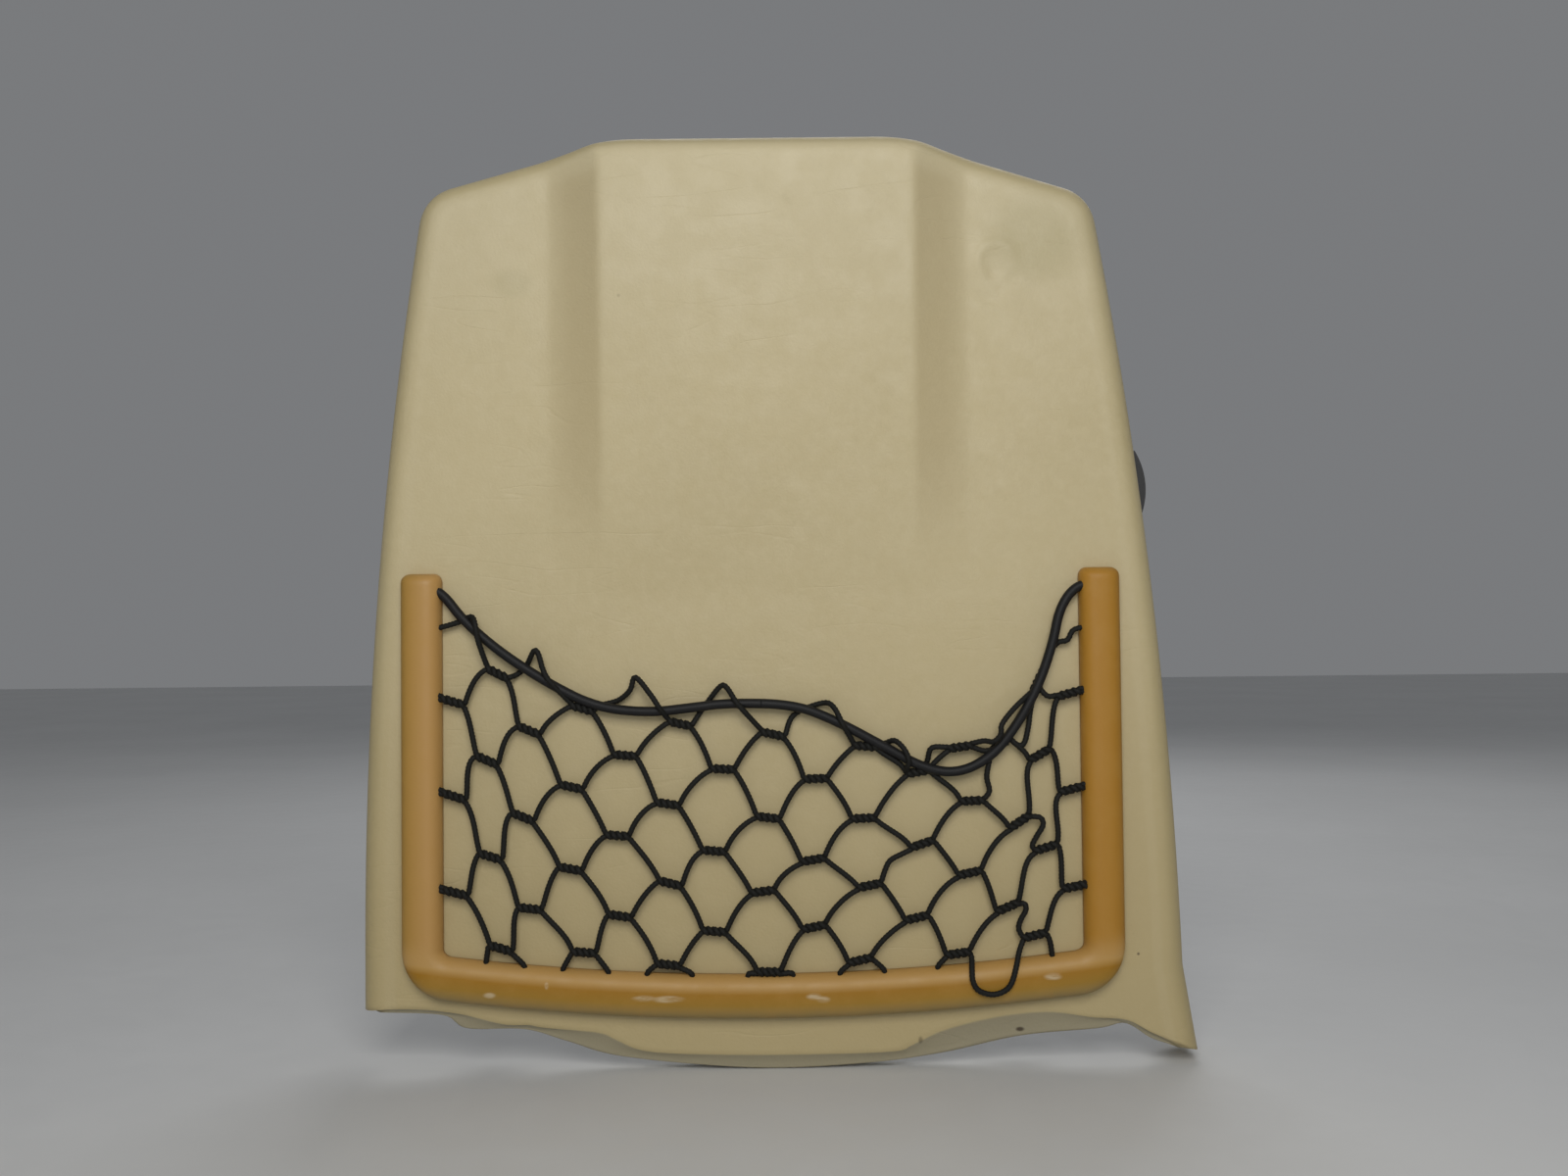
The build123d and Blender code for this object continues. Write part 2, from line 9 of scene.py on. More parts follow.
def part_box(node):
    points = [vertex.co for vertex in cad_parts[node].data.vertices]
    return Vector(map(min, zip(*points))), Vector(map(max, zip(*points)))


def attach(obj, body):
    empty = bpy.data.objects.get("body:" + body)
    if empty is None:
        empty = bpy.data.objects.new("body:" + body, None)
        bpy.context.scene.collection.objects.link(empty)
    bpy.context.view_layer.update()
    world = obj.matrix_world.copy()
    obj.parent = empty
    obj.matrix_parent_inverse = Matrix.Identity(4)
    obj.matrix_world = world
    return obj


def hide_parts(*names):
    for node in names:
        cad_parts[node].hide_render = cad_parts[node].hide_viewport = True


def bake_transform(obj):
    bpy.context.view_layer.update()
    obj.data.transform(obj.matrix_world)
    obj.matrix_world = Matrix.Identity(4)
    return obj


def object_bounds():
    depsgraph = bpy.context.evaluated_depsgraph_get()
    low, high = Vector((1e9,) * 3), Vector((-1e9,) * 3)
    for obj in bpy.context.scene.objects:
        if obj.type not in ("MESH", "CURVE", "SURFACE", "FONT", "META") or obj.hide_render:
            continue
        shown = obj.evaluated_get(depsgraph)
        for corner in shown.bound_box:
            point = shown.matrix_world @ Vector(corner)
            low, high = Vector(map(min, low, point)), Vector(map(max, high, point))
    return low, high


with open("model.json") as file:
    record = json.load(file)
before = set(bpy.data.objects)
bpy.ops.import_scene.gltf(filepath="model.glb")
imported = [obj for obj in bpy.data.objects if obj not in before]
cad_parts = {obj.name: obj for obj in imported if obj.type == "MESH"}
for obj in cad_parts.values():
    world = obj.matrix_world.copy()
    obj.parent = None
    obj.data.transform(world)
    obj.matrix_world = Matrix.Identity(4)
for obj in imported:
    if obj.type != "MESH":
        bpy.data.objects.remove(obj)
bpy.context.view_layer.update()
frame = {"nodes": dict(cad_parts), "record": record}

# Looks of a car seat's rear panel: leatherette over foam, a U-shaped moulding, a knotless net and its
# elastic. Shapes are worked out in millimetres in the row frame: x to the right, z up, and "depth" behind
# the panel's flat face. to_world() turns them into metres.

MM = 0.001
FRAME_PROUD = 13.0
FACE_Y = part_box("pocket_frame")[0].y / MM + FRAME_PROUD


def to_world(x, depth, z):
    """A point of the row frame in metres, from millimetres and a depth."""
    return Vector((x, FACE_Y + depth, z)) * MM


# ------------ camera

CAMERA_TARGET = to_world(14.8, 0.0, 265.0)
CAMERA_AWAY = 0.876
CAMERA_BELOW_TARGET = 0.023
CAMERA_ROLL = radians(-0.6)
camera_data = bpy.data.cameras.new("camera")
camera_data.lens = 32.4
camera_data.sensor_width = 36.0
camera = bpy.data.objects.new("camera", camera_data)
bpy.context.scene.collection.objects.link(camera)
camera.location = CAMERA_TARGET + Vector((0, -CAMERA_AWAY, -CAMERA_BELOW_TARGET))
tilt = atan(CAMERA_BELOW_TARGET / CAMERA_AWAY)
upright = Euler((pi / 2 + tilt, 0, 0)).to_matrix()
camera.rotation_euler = (upright @ Matrix.Rotation(CAMERA_ROLL, 3, "Z")).to_euler()
bpy.context.scene.camera = camera

# ------------ cords: the elastic, in two halves

ELASTIC_DIAMETER = 5.8
ELASTIC_LEFT = [
    (-199.5, -6.0, 265), (-195, -6.2, 263), (-183, -7.6, 247), (-160, -8.3, 227), (-131, -8.5, 208),
    (-102, -8.4, 193), (-70, -8.6, 189), (-42, -8.5, 192), (-20, -8.5, 194.6), (0, -8.5, 194),
]
ELASTIC_RIGHT = [
    (0, -8.5, 194), (20, -8.5, 193.4), (46, -8.6, 183), (75, -8.5, 167), (100, -8.4, 153), (121, -8.5, 150),
    (141, -8.6, 160), (156, -8.5, 178), (170, -8.4, 202), (180, -8.0, 230), (184, -7.4, 250),
    (193.5, -6.1, 263.6), (199.5, -6.0, 265),
]
ELASTIC_STEP = 0.45
ELASTIC_SIDES = 32
BRAID_STRANDS = 8
BRAID_PITCH = 6.0
BRAID_RELIEF = 0.035


def nurbs_line(points):
    """The smooth line of a cord whose route's points are its NURBS control points, in millimetres."""
    data = bpy.data.curves.new("route", "CURVE")
    data.dimensions = "3D"
    data.resolution_u = 40
    spline = data.splines.new("NURBS")
    spline.points.add(len(points) - 1)
    for point, place in zip(spline.points, points):
        point.co = (*to_world(*place), 1.0)
    spline.order_u = 3
    spline.use_endpoint_u = True
    carrier = bpy.data.objects.new("route", data)
    bpy.context.scene.collection.objects.link(carrier)
    mesh = bpy.data.meshes.new_from_object(carrier)
    line = np.array([v.co for v in mesh.vertices]) / MM
    bpy.data.objects.remove(carrier)
    return line


def distances(line):
    """How far along a line each of its points is."""
    runs = np.linalg.norm(np.diff(line, axis=0), axis=1)
    return np.concatenate([[0.0], np.cumsum(runs)])


def spread_along(line, count):
    """Evenly spaced points of a line, its ends included."""
    line = np.asarray(line, float)
    along = distances(line)
    wanted = np.linspace(0, along[-1], count)
    return np.stack([np.interp(wanted, along, values) for values in line.T], axis=1)


def resampled(line, step):
    """The same line with points a step apart."""
    return spread_along(line, max(4, int(round(distances(line)[-1] / step)) + 1))


def tube_rings(line, radius, sides, relief):
    """Rings of points round a line. relief(angles, distance) is the share of the radius at each angle."""
    tangents = np.gradient(line, axis=0)
    tangents /= np.linalg.norm(tangents, axis=1)[:, None]
    along = distances(line)
    angles = np.arange(sides) * 2 * pi / sides
    normal = np.array([0.0, -1.0, 0.0])
    rings = np.empty((len(line), sides, 3))
    for index, (centre, tangent) in enumerate(zip(line, tangents)):
        normal = normal - tangent * (normal @ tangent)
        normal /= np.linalg.norm(normal)
        side = np.cross(tangent, normal)
        reach = radius * relief(angles, along[index])
        rings[index] = centre + np.outer(np.cos(angles) * reach, normal)
        rings[index] += np.outer(np.sin(angles) * reach, side)
    return rings, along


def new_object(name, vertices, faces, uv=None):
    """A smooth-shaded mesh object from points in metres and lists of corners."""
    mesh = bpy.data.meshes.new(name)
    mesh.from_pydata([tuple(v) for v in vertices], [], faces)
    mesh.validate()
    mesh.shade_smooth()
    if uv is not None:
        layer = mesh.uv_layers.new(name="along")
        for loop in mesh.loops:
            layer.data[loop.index].uv = uv[loop.vertex_index]
    item = bpy.data.objects.new(name, mesh)
    bpy.context.scene.collection.objects.link(item)
    return item


def tube_faces(first, rows, sides):
    """Faces of a tube of rings whose points are numbered from first, with its two ends."""
    faces = []
    for row in range(rows - 1):
        for side in range(sides):
            a = first + row * sides + side
            b = first + row * sides + (side + 1) % sides
            faces.append((a, b, b + sides, a + sides))
    last = first + (rows - 1) * sides
    faces.append([first + side for side in reversed(range(sides))])
    faces.append([last + side for side in range(sides)])
    return faces


def grid_faces(first, rows, columns):
    """Faces of a grid whose points are numbered from first, row by row."""
    faces = []
    for row in range(rows - 1):
        for column in range(columns - 1):
            a = first + row * columns + column
            faces.append((a, a + 1, a + columns + 1, a + columns))
    return faces


def grid_border(rows, columns):
    """The numbers of a grid's border points, once round."""
    loop = list(range(columns - 1))
    loop += [row * columns + columns - 1 for row in range(rows - 1)]
    loop += [(rows - 1) * columns + column for column in range(columns - 1, 0, -1)]
    loop += [row * columns for row in range(rows - 1, 0, -1)]
    return loop


class Tubes:
    """Collects the rings of several tubes into one mesh."""

    def __init__(self):
        self.vertices, self.faces, self.uv = [], [], []

    def add(self, rings, along):
        count, sides = rings.shape[:2]
        self.faces += tube_faces(len(self.vertices), count, sides)
        for ring, distance in zip(rings, along):
            self.vertices += list(ring)
            self.uv += [(side / sides, distance * 0.1) for side in range(sides)]

    def build(self, name):
        return new_object(name, row_to_world(self.vertices), self.faces, self.uv)


def row_to_world(points):
    """Row-frame millimetres, y included, to metres."""
    return np.asarray(points, float) * MM


def braid(angles, distance):
    """The fine criss-cross of a braided sheath."""
    turn = distance * BRAID_STRANDS * pi / BRAID_PITCH
    strands = BRAID_STRANDS * angles
    return 1.0 + BRAID_RELIEF * np.maximum(np.sin(strands + turn), np.sin(strands - turn))


def tube(name, line, radius, sides, relief):
    """One tube as an object."""
    tubes = Tubes()
    tubes.add(*tube_rings(line, radius, sides, relief))
    return tubes.build(name)


def elastic_half(name, node, route):
    line = nurbs_line(route)
    item = tube(name, resampled(line, ELASTIC_STEP), ELASTIC_DIAMETER / 2, ELASTIC_SIDES, braid)
    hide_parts(node)
    return item


elastic_left = elastic_half("elastic_left", "elastic_cord_left", ELASTIC_LEFT)
elastic_right = elastic_half("elastic_right", "elastic_cord_right", ELASTIC_RIGHT)

# ------------ net

TWINE_R = 1.75
TWINE_STEP = 0.7
TWINE_SIDES = 12
TWINE_PITCH = 6.6
TWINES = 8
LOWEST_TWINE = TWINES - 1
JOIN_LENGTH = 15.0
JOIN_R = 1.45
JOIN_TURNS = 2
JOIN_STEPS_PER_TURN = 13
NET_DEPTH = -6.8
IN_GROOVE_X = 201.0

# the joins of each column, from the top: (x, z, tilt in degrees). Even columns hang half a mesh lower.
JOINS = [
    [(-189.5, 197, -17), (-189, 139, -19), (-188, 80, -15)],
    [(-162, 214, -27), (-169, 161, -24), (-167, 102, -18), (-161, 46, -17)],
    [(-143, 179, -23), (-147, 126, -23), (-143, 70, -7)],
    [(-110, 192, -17), (-117, 144, -13), (-118, 94, -11), (-110, 43, -5)],
    [(-84, 163, -5), (-89, 114, -5), (-88, 65, -9)],
    [(-50, 182, -13), (-58, 133, -9), (-57, 84.5, -15), (-58.5, 35, -7)],
    [(-24, 154, -3), (-30, 104, -5), (-30, 55, -5)],
    [(7, 175, -13), (3.5, 124, -7), (0, 79, 7), (3, 30, -1)],
    [(33, 147.5, 1), (31, 98, 9), (31, 57, 11)],
    [(64, 167, -5), (62, 123, 2), (65.5, 82, 11), (59, 36.5, 13)],
    [(96, 151, 9), (98, 107, 18), (94, 62, 13)],
    [(122, 166, 8), (129, 133, 2), (127, 89, 12), (119, 40, 8)],
    [(146.5, 167, 34), (158, 120, 33), (150, 68, 23)],
    [(170, 205, 64), (171, 161, 30), (174, 104, 17), (166, 50.5, 13)],
    [(189, 198, 15), (190, 139.5, 14), (191, 80, 11)],
]
# the selvedge loops over the elastic, by the column that they span: (x, depth, z)
SELVEDGE = {
    0: [(-203, -6, 242), (-196, -6, 243), (-184.7, -6.0, 246.3), (-177.5, -9, 249.2), (-174.4, -12.6, 244.4),
        (-172.7, -12.6, 234.7)],
    2: [(-151, -4, 213), (-145, -4, 218), (-139.5, -8, 227.5), (-136.5, -9, 226), (-130.6, -13, 211.3)],
    4: [(-100, -4, 193.5), (-88.5, -4, 196.5), (-80.5, -7, 203), (-77, -9, 211), (-67.4, -13, 200.4),
        (-62, -13, 192)],
    6: [(-36, -4, 191), (-25.5, -7, 204.3), (-21, -9, 204.1), (-14, -13, 193.8)],
    8: [(20, -4, 186.5), (36.8, -5, 193.6), (44, -9, 192), (49.9, -13, 181)],
    10: [(76, -4, 168.5), (82, -8, 170.4), (87.5, -12, 165), (90, -13, 158), (88.8, -9, 152.5),
         (94, -4, 149.5), (101.4, -4, 156.3), (104.3, -6, 165.4)],
    12: [(136.5, -9, 169.8), (141.9, -12, 169.5), (146.2, -13, 174.0), (146.9, -13, 180.0),
         (154.9, -11, 189.6)],
    14: [(179, -4, 224), (183.5, -5, 229.6), (189, -6, 230.9), (192, -6, 236.3), (196, -6, 238.2),
         (203, -6, 239)],
}
# twine that hangs kinked between two joins: (column to its left, its number from the top): (x, depth, z)
KINKS = {
    (9, 4): [(74.8, -7, 91), (78, -7, 97), (85, -7, 100.8)],
    (11, 1): [(135.8, -7, 163.6)],
    (11, 2): [(139.6, -7, 139), (138, -7, 147), (139.0, -7, 154)],
    (12, 1): [(156, -7, 167.5), (161, -7, 167.5), (164.2, -6, 178), (165.6, -5, 187)],
    (12, 4): [(170.5, -8, 122.4), (172.0, -8, 118), (168.3, -7.5, 111.5), (165.3, -7, 105.5)],
    (13, 1): [(171.6, -6, 203.2), (173.2, -7, 199.2), (176.8, -7, 196.4)],
    (12, 6): [(160.2, -8, 70), (160.6, -8, 66), (157.6, -7.5, 60.5), (156.2, -7, 54.9)],
}
# the lowest twine's slack, which hangs out over the rail before this column
LOOSE_LOOP_COLUMN = 13
LOOSE_LOOP = [
    (127.2, -8, 37), (126.6, -13, 31), (126.8, -15.3, 25), (130.1, -15.6, 19.6), (137.9, -15.6, 17.1),
    (145.1, -15.6, 18.8), (150.0, -15.4, 23.5), (153.5, -13, 33), (156, -9, 41),
]
FRAME_HALF = 222.0
FRAME_BAR = 25.0
FRAME_TOP_Z = 276.0
FRAME_CORNER_R = 32.0
FRAME_BOTTOM_Z = 1.0
FRAME_RAIL_RISE = 12.0
RAIL_EXTRA = 1.8
RAIL_TOP = FRAME_BAR + RAIL_EXTRA
RAIL_CHORD = FRAME_HALF - FRAME_CORNER_R
RAIL_ARC_R = (RAIL_CHORD**2 + FRAME_RAIL_RISE**2) / (2 * FRAME_RAIL_RISE)


def rail_edge(x, lift):
    """Height of the rail's lower edge at x, or of a line that much above it."""
    return FRAME_BOTTOM_Z + lift + RAIL_ARC_R - sqrt(RAIL_ARC_R**2 - x * x)


def join_ends(column, level):
    x, z, tilt = JOINS[column][level]
    half = Vector((cos(radians(tilt)), 0, sin(radians(tilt)))) * (JOIN_LENGTH / 2)
    centre = Vector((x, FACE_Y + NET_DEPTH, z))
    return centre - half, centre + half


def join_strand(column, level, is_upper):
    """One of the two twines that wind round each other in a join."""
    start, end = join_ends(column, level)
    axis = (end - start).normalized()
    outward = Vector((0, -1, 0))
    upward = outward.cross(axis).normalized()
    if upward.z < 0:
        upward = -upward
    phase = 0.0 if is_upper else pi
    points = []
    steps = JOIN_STEPS_PER_TURN * JOIN_TURNS
    for step in range(steps + 1):
        share = step / steps
        angle = phase + share * JOIN_TURNS * 2 * pi
        ease = min(1.0, 3.0 * min(share, 1 - share) + 0.75)
        offset = (upward * cos(angle) + outward * sin(angle)) * JOIN_R * ease
        points.append(start.lerp(end, share) + offset)
    return points


def bezier(a, b, c, d, count):
    """Points of a cubic curve, without its two ends."""
    points = []
    for step in range(1, count):
        t = step / count
        s = 1 - t
        points.append(a * s**3 + b * (3 * s * s * t) + c * (3 * s * t * t) + d * t**3)
    return points


def row_point(x, depth, z):
    return Vector((x, FACE_Y + depth, z))


def link(start, end, sag, bow=0.5):
    """A slack link between two joins. bow goes from 0, nearly straight, to 1, well rounded."""
    reach = (end - start).length
    straight = (end - start).normalized()
    if end.z > start.z:
        leave = Vector((0.22, -0.25, 0.95))
        arrive = Vector((0.92, 0.15, 0.25))
    else:
        leave = Vector((0.66, -0.15, -0.70))
        arrive = Vector((0.22, 0.1, -0.96))
    leave = straight.lerp(leave, 0.35 + 0.5 * bow)
    arrive = straight.lerp(arrive, 0.30 + 0.6 * bow)
    leave.y -= sag
    return bezier(start, start + leave * reach * 0.34, end - arrive * reach * 0.32, end, 12)


def through(points):
    """A smooth line through waypoints, without the first and last."""
    line = []
    for index in range(1, len(points) - 2):
        before, a, b, after = points[index - 1:index + 3]
        tangent_a, tangent_b = (b - before) / 6, (after - a) / 6
        line += [a] + bezier(a, a + tangent_a, b - tangent_b, b, 6)
    return line + [points[-2]]


def waypoints(start, places, end):
    """Through given places between two twine ends."""
    inner = [row_point(*place) for place in places]
    chain = [start * 2 - inner[0], start, *inner, end, end * 2 - inner[-1]]
    return through(chain)[1:-1]


def twine_join(number, column):
    """(level, is_upper) of the join that a twine passes in a column, or None."""
    if column % 2:
        level, is_upper = (number // 2, number % 2 == 0)
    else:
        level, is_upper = ((number - 1) // 2, number % 2 == 1)
    inside = 0 <= level < len(JOINS[column])
    return (level, is_upper) if inside else None


def twine_line(number):
    """One twine's whole course from the left arm to the right arm."""
    line = []
    groove = FACE_Y + NET_DEPTH
    for column in range(len(JOINS)):
        place = twine_join(number, column)
        if place is None:
            continue
        strand = join_strand(column, *place)
        if line:
            line += between(number, column, line[-1], strand[0])
        line += strand
    first, last = line[0], line[-1]
    if number == 0:
        start = [row_point(*p) for p in [(-212, -6, 241)] + SELVEDGE[0]]
        end = row_point(*SELVEDGE[14][-1])
        line = through(start + [first, line[8]])[:-1] + line
        return line + waypoints(last, SELVEDGE[14][:-1], end) + [end]
    line = [Vector((-IN_GROOVE_X, groove, first.z + 1.5))] + line
    if number == LOWEST_TWINE:
        line[0] = row_point(-171, -5, rail_edge(-171, RAIL_TOP - 5))
        end = row_point(177.5, -5, rail_edge(177, RAIL_TOP - 5))
        return line + link(last, end, 0.0) + [end]
    return line + [Vector((IN_GROOVE_X, groove, last.z + 0.5))]


def between(number, column, start, end):
    """The slack twine between the last join that it passed and this one."""
    previous = column - 1
    if number == 0:
        return waypoints(start, SELVEDGE[column - 1], end)
    if number == LOWEST_TWINE:
        if column == LOOSE_LOOP_COLUMN:
            return waypoints(start, LOOSE_LOOP, end)
        return rail_dip(start, end)
    if (previous, number) in KINKS:
        return waypoints(start, KINKS[previous, number], end)
    sag = 0.10 * sin(number * 2.3 + column * 1.7)
    bow = 0.5 + 0.45 * sin(number * 4.1 + column * 2.9)
    return link(start, end, sag, bow)


def rail_dip(start, end):
    """The lowest twine goes down into the rail and comes up again before the next join."""
    down_x, up_x = start.x + 7, end.x - 5
    places = [
        (down_x, -6.5, rail_edge(down_x, RAIL_TOP + 1)),
        (down_x + 3, -5, rail_edge(down_x, RAIL_TOP - 5)),
        (up_x - 3, -5, rail_edge(up_x, RAIL_TOP - 5)),
        (up_x, -6.5, rail_edge(up_x, RAIL_TOP + 1)),
    ]
    return waypoints(start, places, end)


def smoothed(line, rounds):
    line = line.copy()
    for _ in range(rounds):
        line[1:-1] = line[1:-1] * 0.5 + (line[:-2] + line[2:]) * 0.25
    return line


def plies(angles, distance):
    """Three plies laid round each other."""
    return 0.80 + 0.25 * np.abs(np.cos(1.5 * (angles - distance * 2 * pi / TWINE_PITCH)))


def build_net():
    halves = Tubes(), Tubes()
    for number in range(TWINES):
        line = np.array([tuple(p) for p in twine_line(number)])
        line = smoothed(resampled(line, TWINE_STEP), 2)
        rings, along = tube_rings(line, TWINE_R, TWINE_SIDES, plies)
        cut = int(np.argmax(line[:, 0] > 0))
        halves[0].add(rings[:cut + 1], along[:cut + 1])
        halves[1].add(rings[cut:], along[cut:])
    return halves[0].build("net_left"), halves[1].build("net_right")


net_left, net_right = build_net()
for net in (net_left, net_right):
    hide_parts("pocket_net")

# bake the elastic's and the net's placement into their meshes
for piece, side in ((elastic_left, -1), (elastic_right, 1), (net_left, -1), (net_right, 1)):
    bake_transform(piece)

# ------------ leatherette cover

TOP_Z = 549.0
TOP_FLAT_HALF = 94.0
LEFT_SHOULDER = (-211.5, 516.5)
RIGHT_SHOULDER = (211.5, 512.5)
SHOULDER_R = 28.0
TOP_BEND_R = 130.0
LEFT_MIDDLE = (-241.0, 271.0)
RIGHT_MIDDLE = (246.0, 271.0)
LEFT_FOOT = (-250.0, 28.0)
RIGHT_FOOT = (262.0, 28.0)
RIGHT_TOE = (270.5, -23.0)
LOWER_EDGE = [
    (-262, 5), (-232, 5), (-198, 3), (-184, -5), (-148, -6), (-122, -13.5), (-86, -23.5), (-6, -31),
    (60, -29), (109, -23), (158, -13), (206, -9), (223, -6), (238, -15), (252, -20), (264, -25), (290, -25),
]
# where the face turns back into the bottom lip
CREASE = [
    (-262, 8), (-198, 6), (-160, -2), (-145, -2.6), (-135, -4.5), (-102, -7.5), (-91, -12), (-76, -18.5),
    (-50, -21), (12, -22), (77, -21), (91, -16.8), (106, -9.6), (123, -4.3), (150, 0.9), (177, 2.4),
    (203, -1.5), (223, -3), (238, -11), (252, -16), (264, -21), (290, -21),
]
ROLL_INSET = 15.0
ROLL_DEPTH = 17.0
LIP_STEP = 2.9
HEM_DEPTH = 45.4
HEM_WIDTH = 8.4
HEM_BEND = 2.2
BOTTOM_LIP_DEPTH = 16.0
CELLS_ACROSS = 168
CELLS_UP = 180
ROLL_RINGS = 10
WALL_PARTS = (0.04, 0.12, 0.3, 0.5, 0.7, 0.9, 1.0)
HEM_BEND_PARTS = (0.33, 0.67, 1.0)
HEM_PARTS = (0.3, 0.65, 1.0)
CROWN_TOP = (512.0, 16.5)
CROWN_FOOT_Z = 262.0
CROWN_HALF = (97.0, 131.0)
# the dents under the ring that the right hook presses into the face: (x, z, depth, reach)
HOOK_DENTS = [(147.0, 460.0, 1.6, 4.4), (158.5, 458.0, 1.0, 5.0), (152.0, 450.5, 0.9, 3.2)]
HOOK_RING = (149.5, 468.0)
HOOK_RING_R = 11.5


def arc_through(a, b, c, count):
    """Points of the circle through three points, from a to c."""
    (ax, ay), (bx, by), (cx, cy) = a, b, c
    d = 2 * (ax * (by - cy) + bx * (cy - ay) + cx * (ay - by))
    a2, b2, c2 = ax**2 + ay**2, bx**2 + by**2, cx**2 + cy**2
    ux = (a2 * (by - cy) + b2 * (cy - ay) + c2 * (ay - by)) / d
    uy = (a2 * (cx - bx) + b2 * (ax - cx) + c2 * (bx - ax)) / d
    start, end = np.arctan2(ay - uy, ax - ux), np.arctan2(cy - uy, cx - ux)
    turn = (end - start + pi) % (2 * pi) - pi
    angles = start + np.linspace(0, turn, count)
    radius = np.hypot(ax - ux, ay - uy)
    return np.stack([ux + radius * np.cos(angles), uy + radius * np.sin(angles)], axis=1)


def rounded_corner(before, corner, after, radius, count=24):
    """An arc of that radius in place of a corner."""
    corner = np.array(corner, float)
    to_before = np.array(before, float) - corner
    to_after = np.array(after, float) - corner
    to_before /= np.linalg.norm(to_before)
    to_after /= np.linalg.norm(to_after)
    half = np.arccos(np.clip(to_before @ to_after, -1, 1)) / 2
    reach = radius / np.tan(half)
    both = to_before + to_after
    middle = corner + both / np.linalg.norm(both) * radius / np.sin(half)
    start, end = corner + to_before * reach, corner + to_after * reach
    nearest = middle + (corner - middle) / np.linalg.norm(corner - middle) * radius
    return arc_through(start, nearest, end, count)


def smooth_through(points, step=1.0):
    """A dense smooth curve through points in a plane."""
    points = np.array(points, float)
    chain = np.vstack([points[0] * 2 - points[1], points, points[-1] * 2 - points[-2]])
    out = []
    for before, a, b, after in zip(chain, chain[1:], chain[2:], chain[3:]):
        count = max(2, int(np.linalg.norm(b - a) / step))
        t = np.linspace(0, 1, count, endpoint=False)[:, None]
        first, second = (b - before) / 2, (after - a) / 2
        out.append((2 * t**3 - 3 * t**2 + 1) * a + (t**3 - 2 * t**2 + t) * first
                   + (3 * t**2 - 2 * t**3) * b + (t**3 - t**2) * second)
    return np.vstack(out + [points[-1:]])


LOWER_CURVE = smooth_through(LOWER_EDGE)
CREASE_CURVE = smooth_through(CREASE)


def lower_z(x):
    return np.interp(x, LOWER_CURVE[:, 0], LOWER_CURVE[:, 1])


def crease_z(x):
    return np.maximum(np.interp(x, CREASE_CURVE[:, 0], CREASE_CURVE[:, 1]), lower_z(x) + 3.0)


def outer_sides():
    """The panel's four edges seen from the front: left and right upwards, bottom and top to the right."""
    left_arc = arc_through(LEFT_FOOT, LEFT_MIDDLE, LEFT_SHOULDER, 80)
    right_arc = arc_through(RIGHT_FOOT, RIGHT_MIDDLE, RIGHT_SHOULDER, 80)
    left_bend = rounded_corner(LEFT_SHOULDER, (-TOP_FLAT_HALF, TOP_Z), (0, TOP_Z), TOP_BEND_R)
    right_bend = rounded_corner((0, TOP_Z), (TOP_FLAT_HALF, TOP_Z), RIGHT_SHOULDER, TOP_BEND_R)
    left_turn = rounded_corner(left_arc[-6], LEFT_SHOULDER, left_bend[0], SHOULDER_R)
    right_turn = rounded_corner(right_bend[-1], RIGHT_SHOULDER, right_arc[-6], SHOULDER_R)
    half = len(left_turn) // 2
    left_end = left_arc[left_arc[:, 1] < left_turn[0][1] - 1]
    right_end = right_arc[right_arc[:, 1] < right_turn[-1][1] - 1]
    bottom_left = np.array([[LEFT_FOOT[0], lower_z(LEFT_FOOT[0])]])
    bottom_right = np.array([[RIGHT_TOE[0], lower_z(RIGHT_TOE[0])]])
    left = np.vstack([bottom_left, left_end, left_turn[:half + 1]])
    right = np.vstack([bottom_right, right_end, right_turn[half:][::-1]])
    top = np.vstack([left_turn[half:], left_bend, right_bend, right_turn[:half + 1]])
    inside = (LOWER_CURVE[:, 0] > LEFT_FOOT[0]) & (LOWER_CURVE[:, 0] < RIGHT_TOE[0])
    bottom = np.vstack([bottom_left, LOWER_CURVE[inside], bottom_right])
    return left, right, bottom, top


def shrunk(curve, inset):
    """A curve moved to its left-hand side by an inset."""
    dense = spread_along(curve, 500)
    tangents = np.gradient(dense, axis=0)
    tangents /= np.linalg.norm(tangents, axis=1)[:, None]
    return dense + np.stack([-tangents[:, 1], tangents[:, 0]], axis=1) * inset


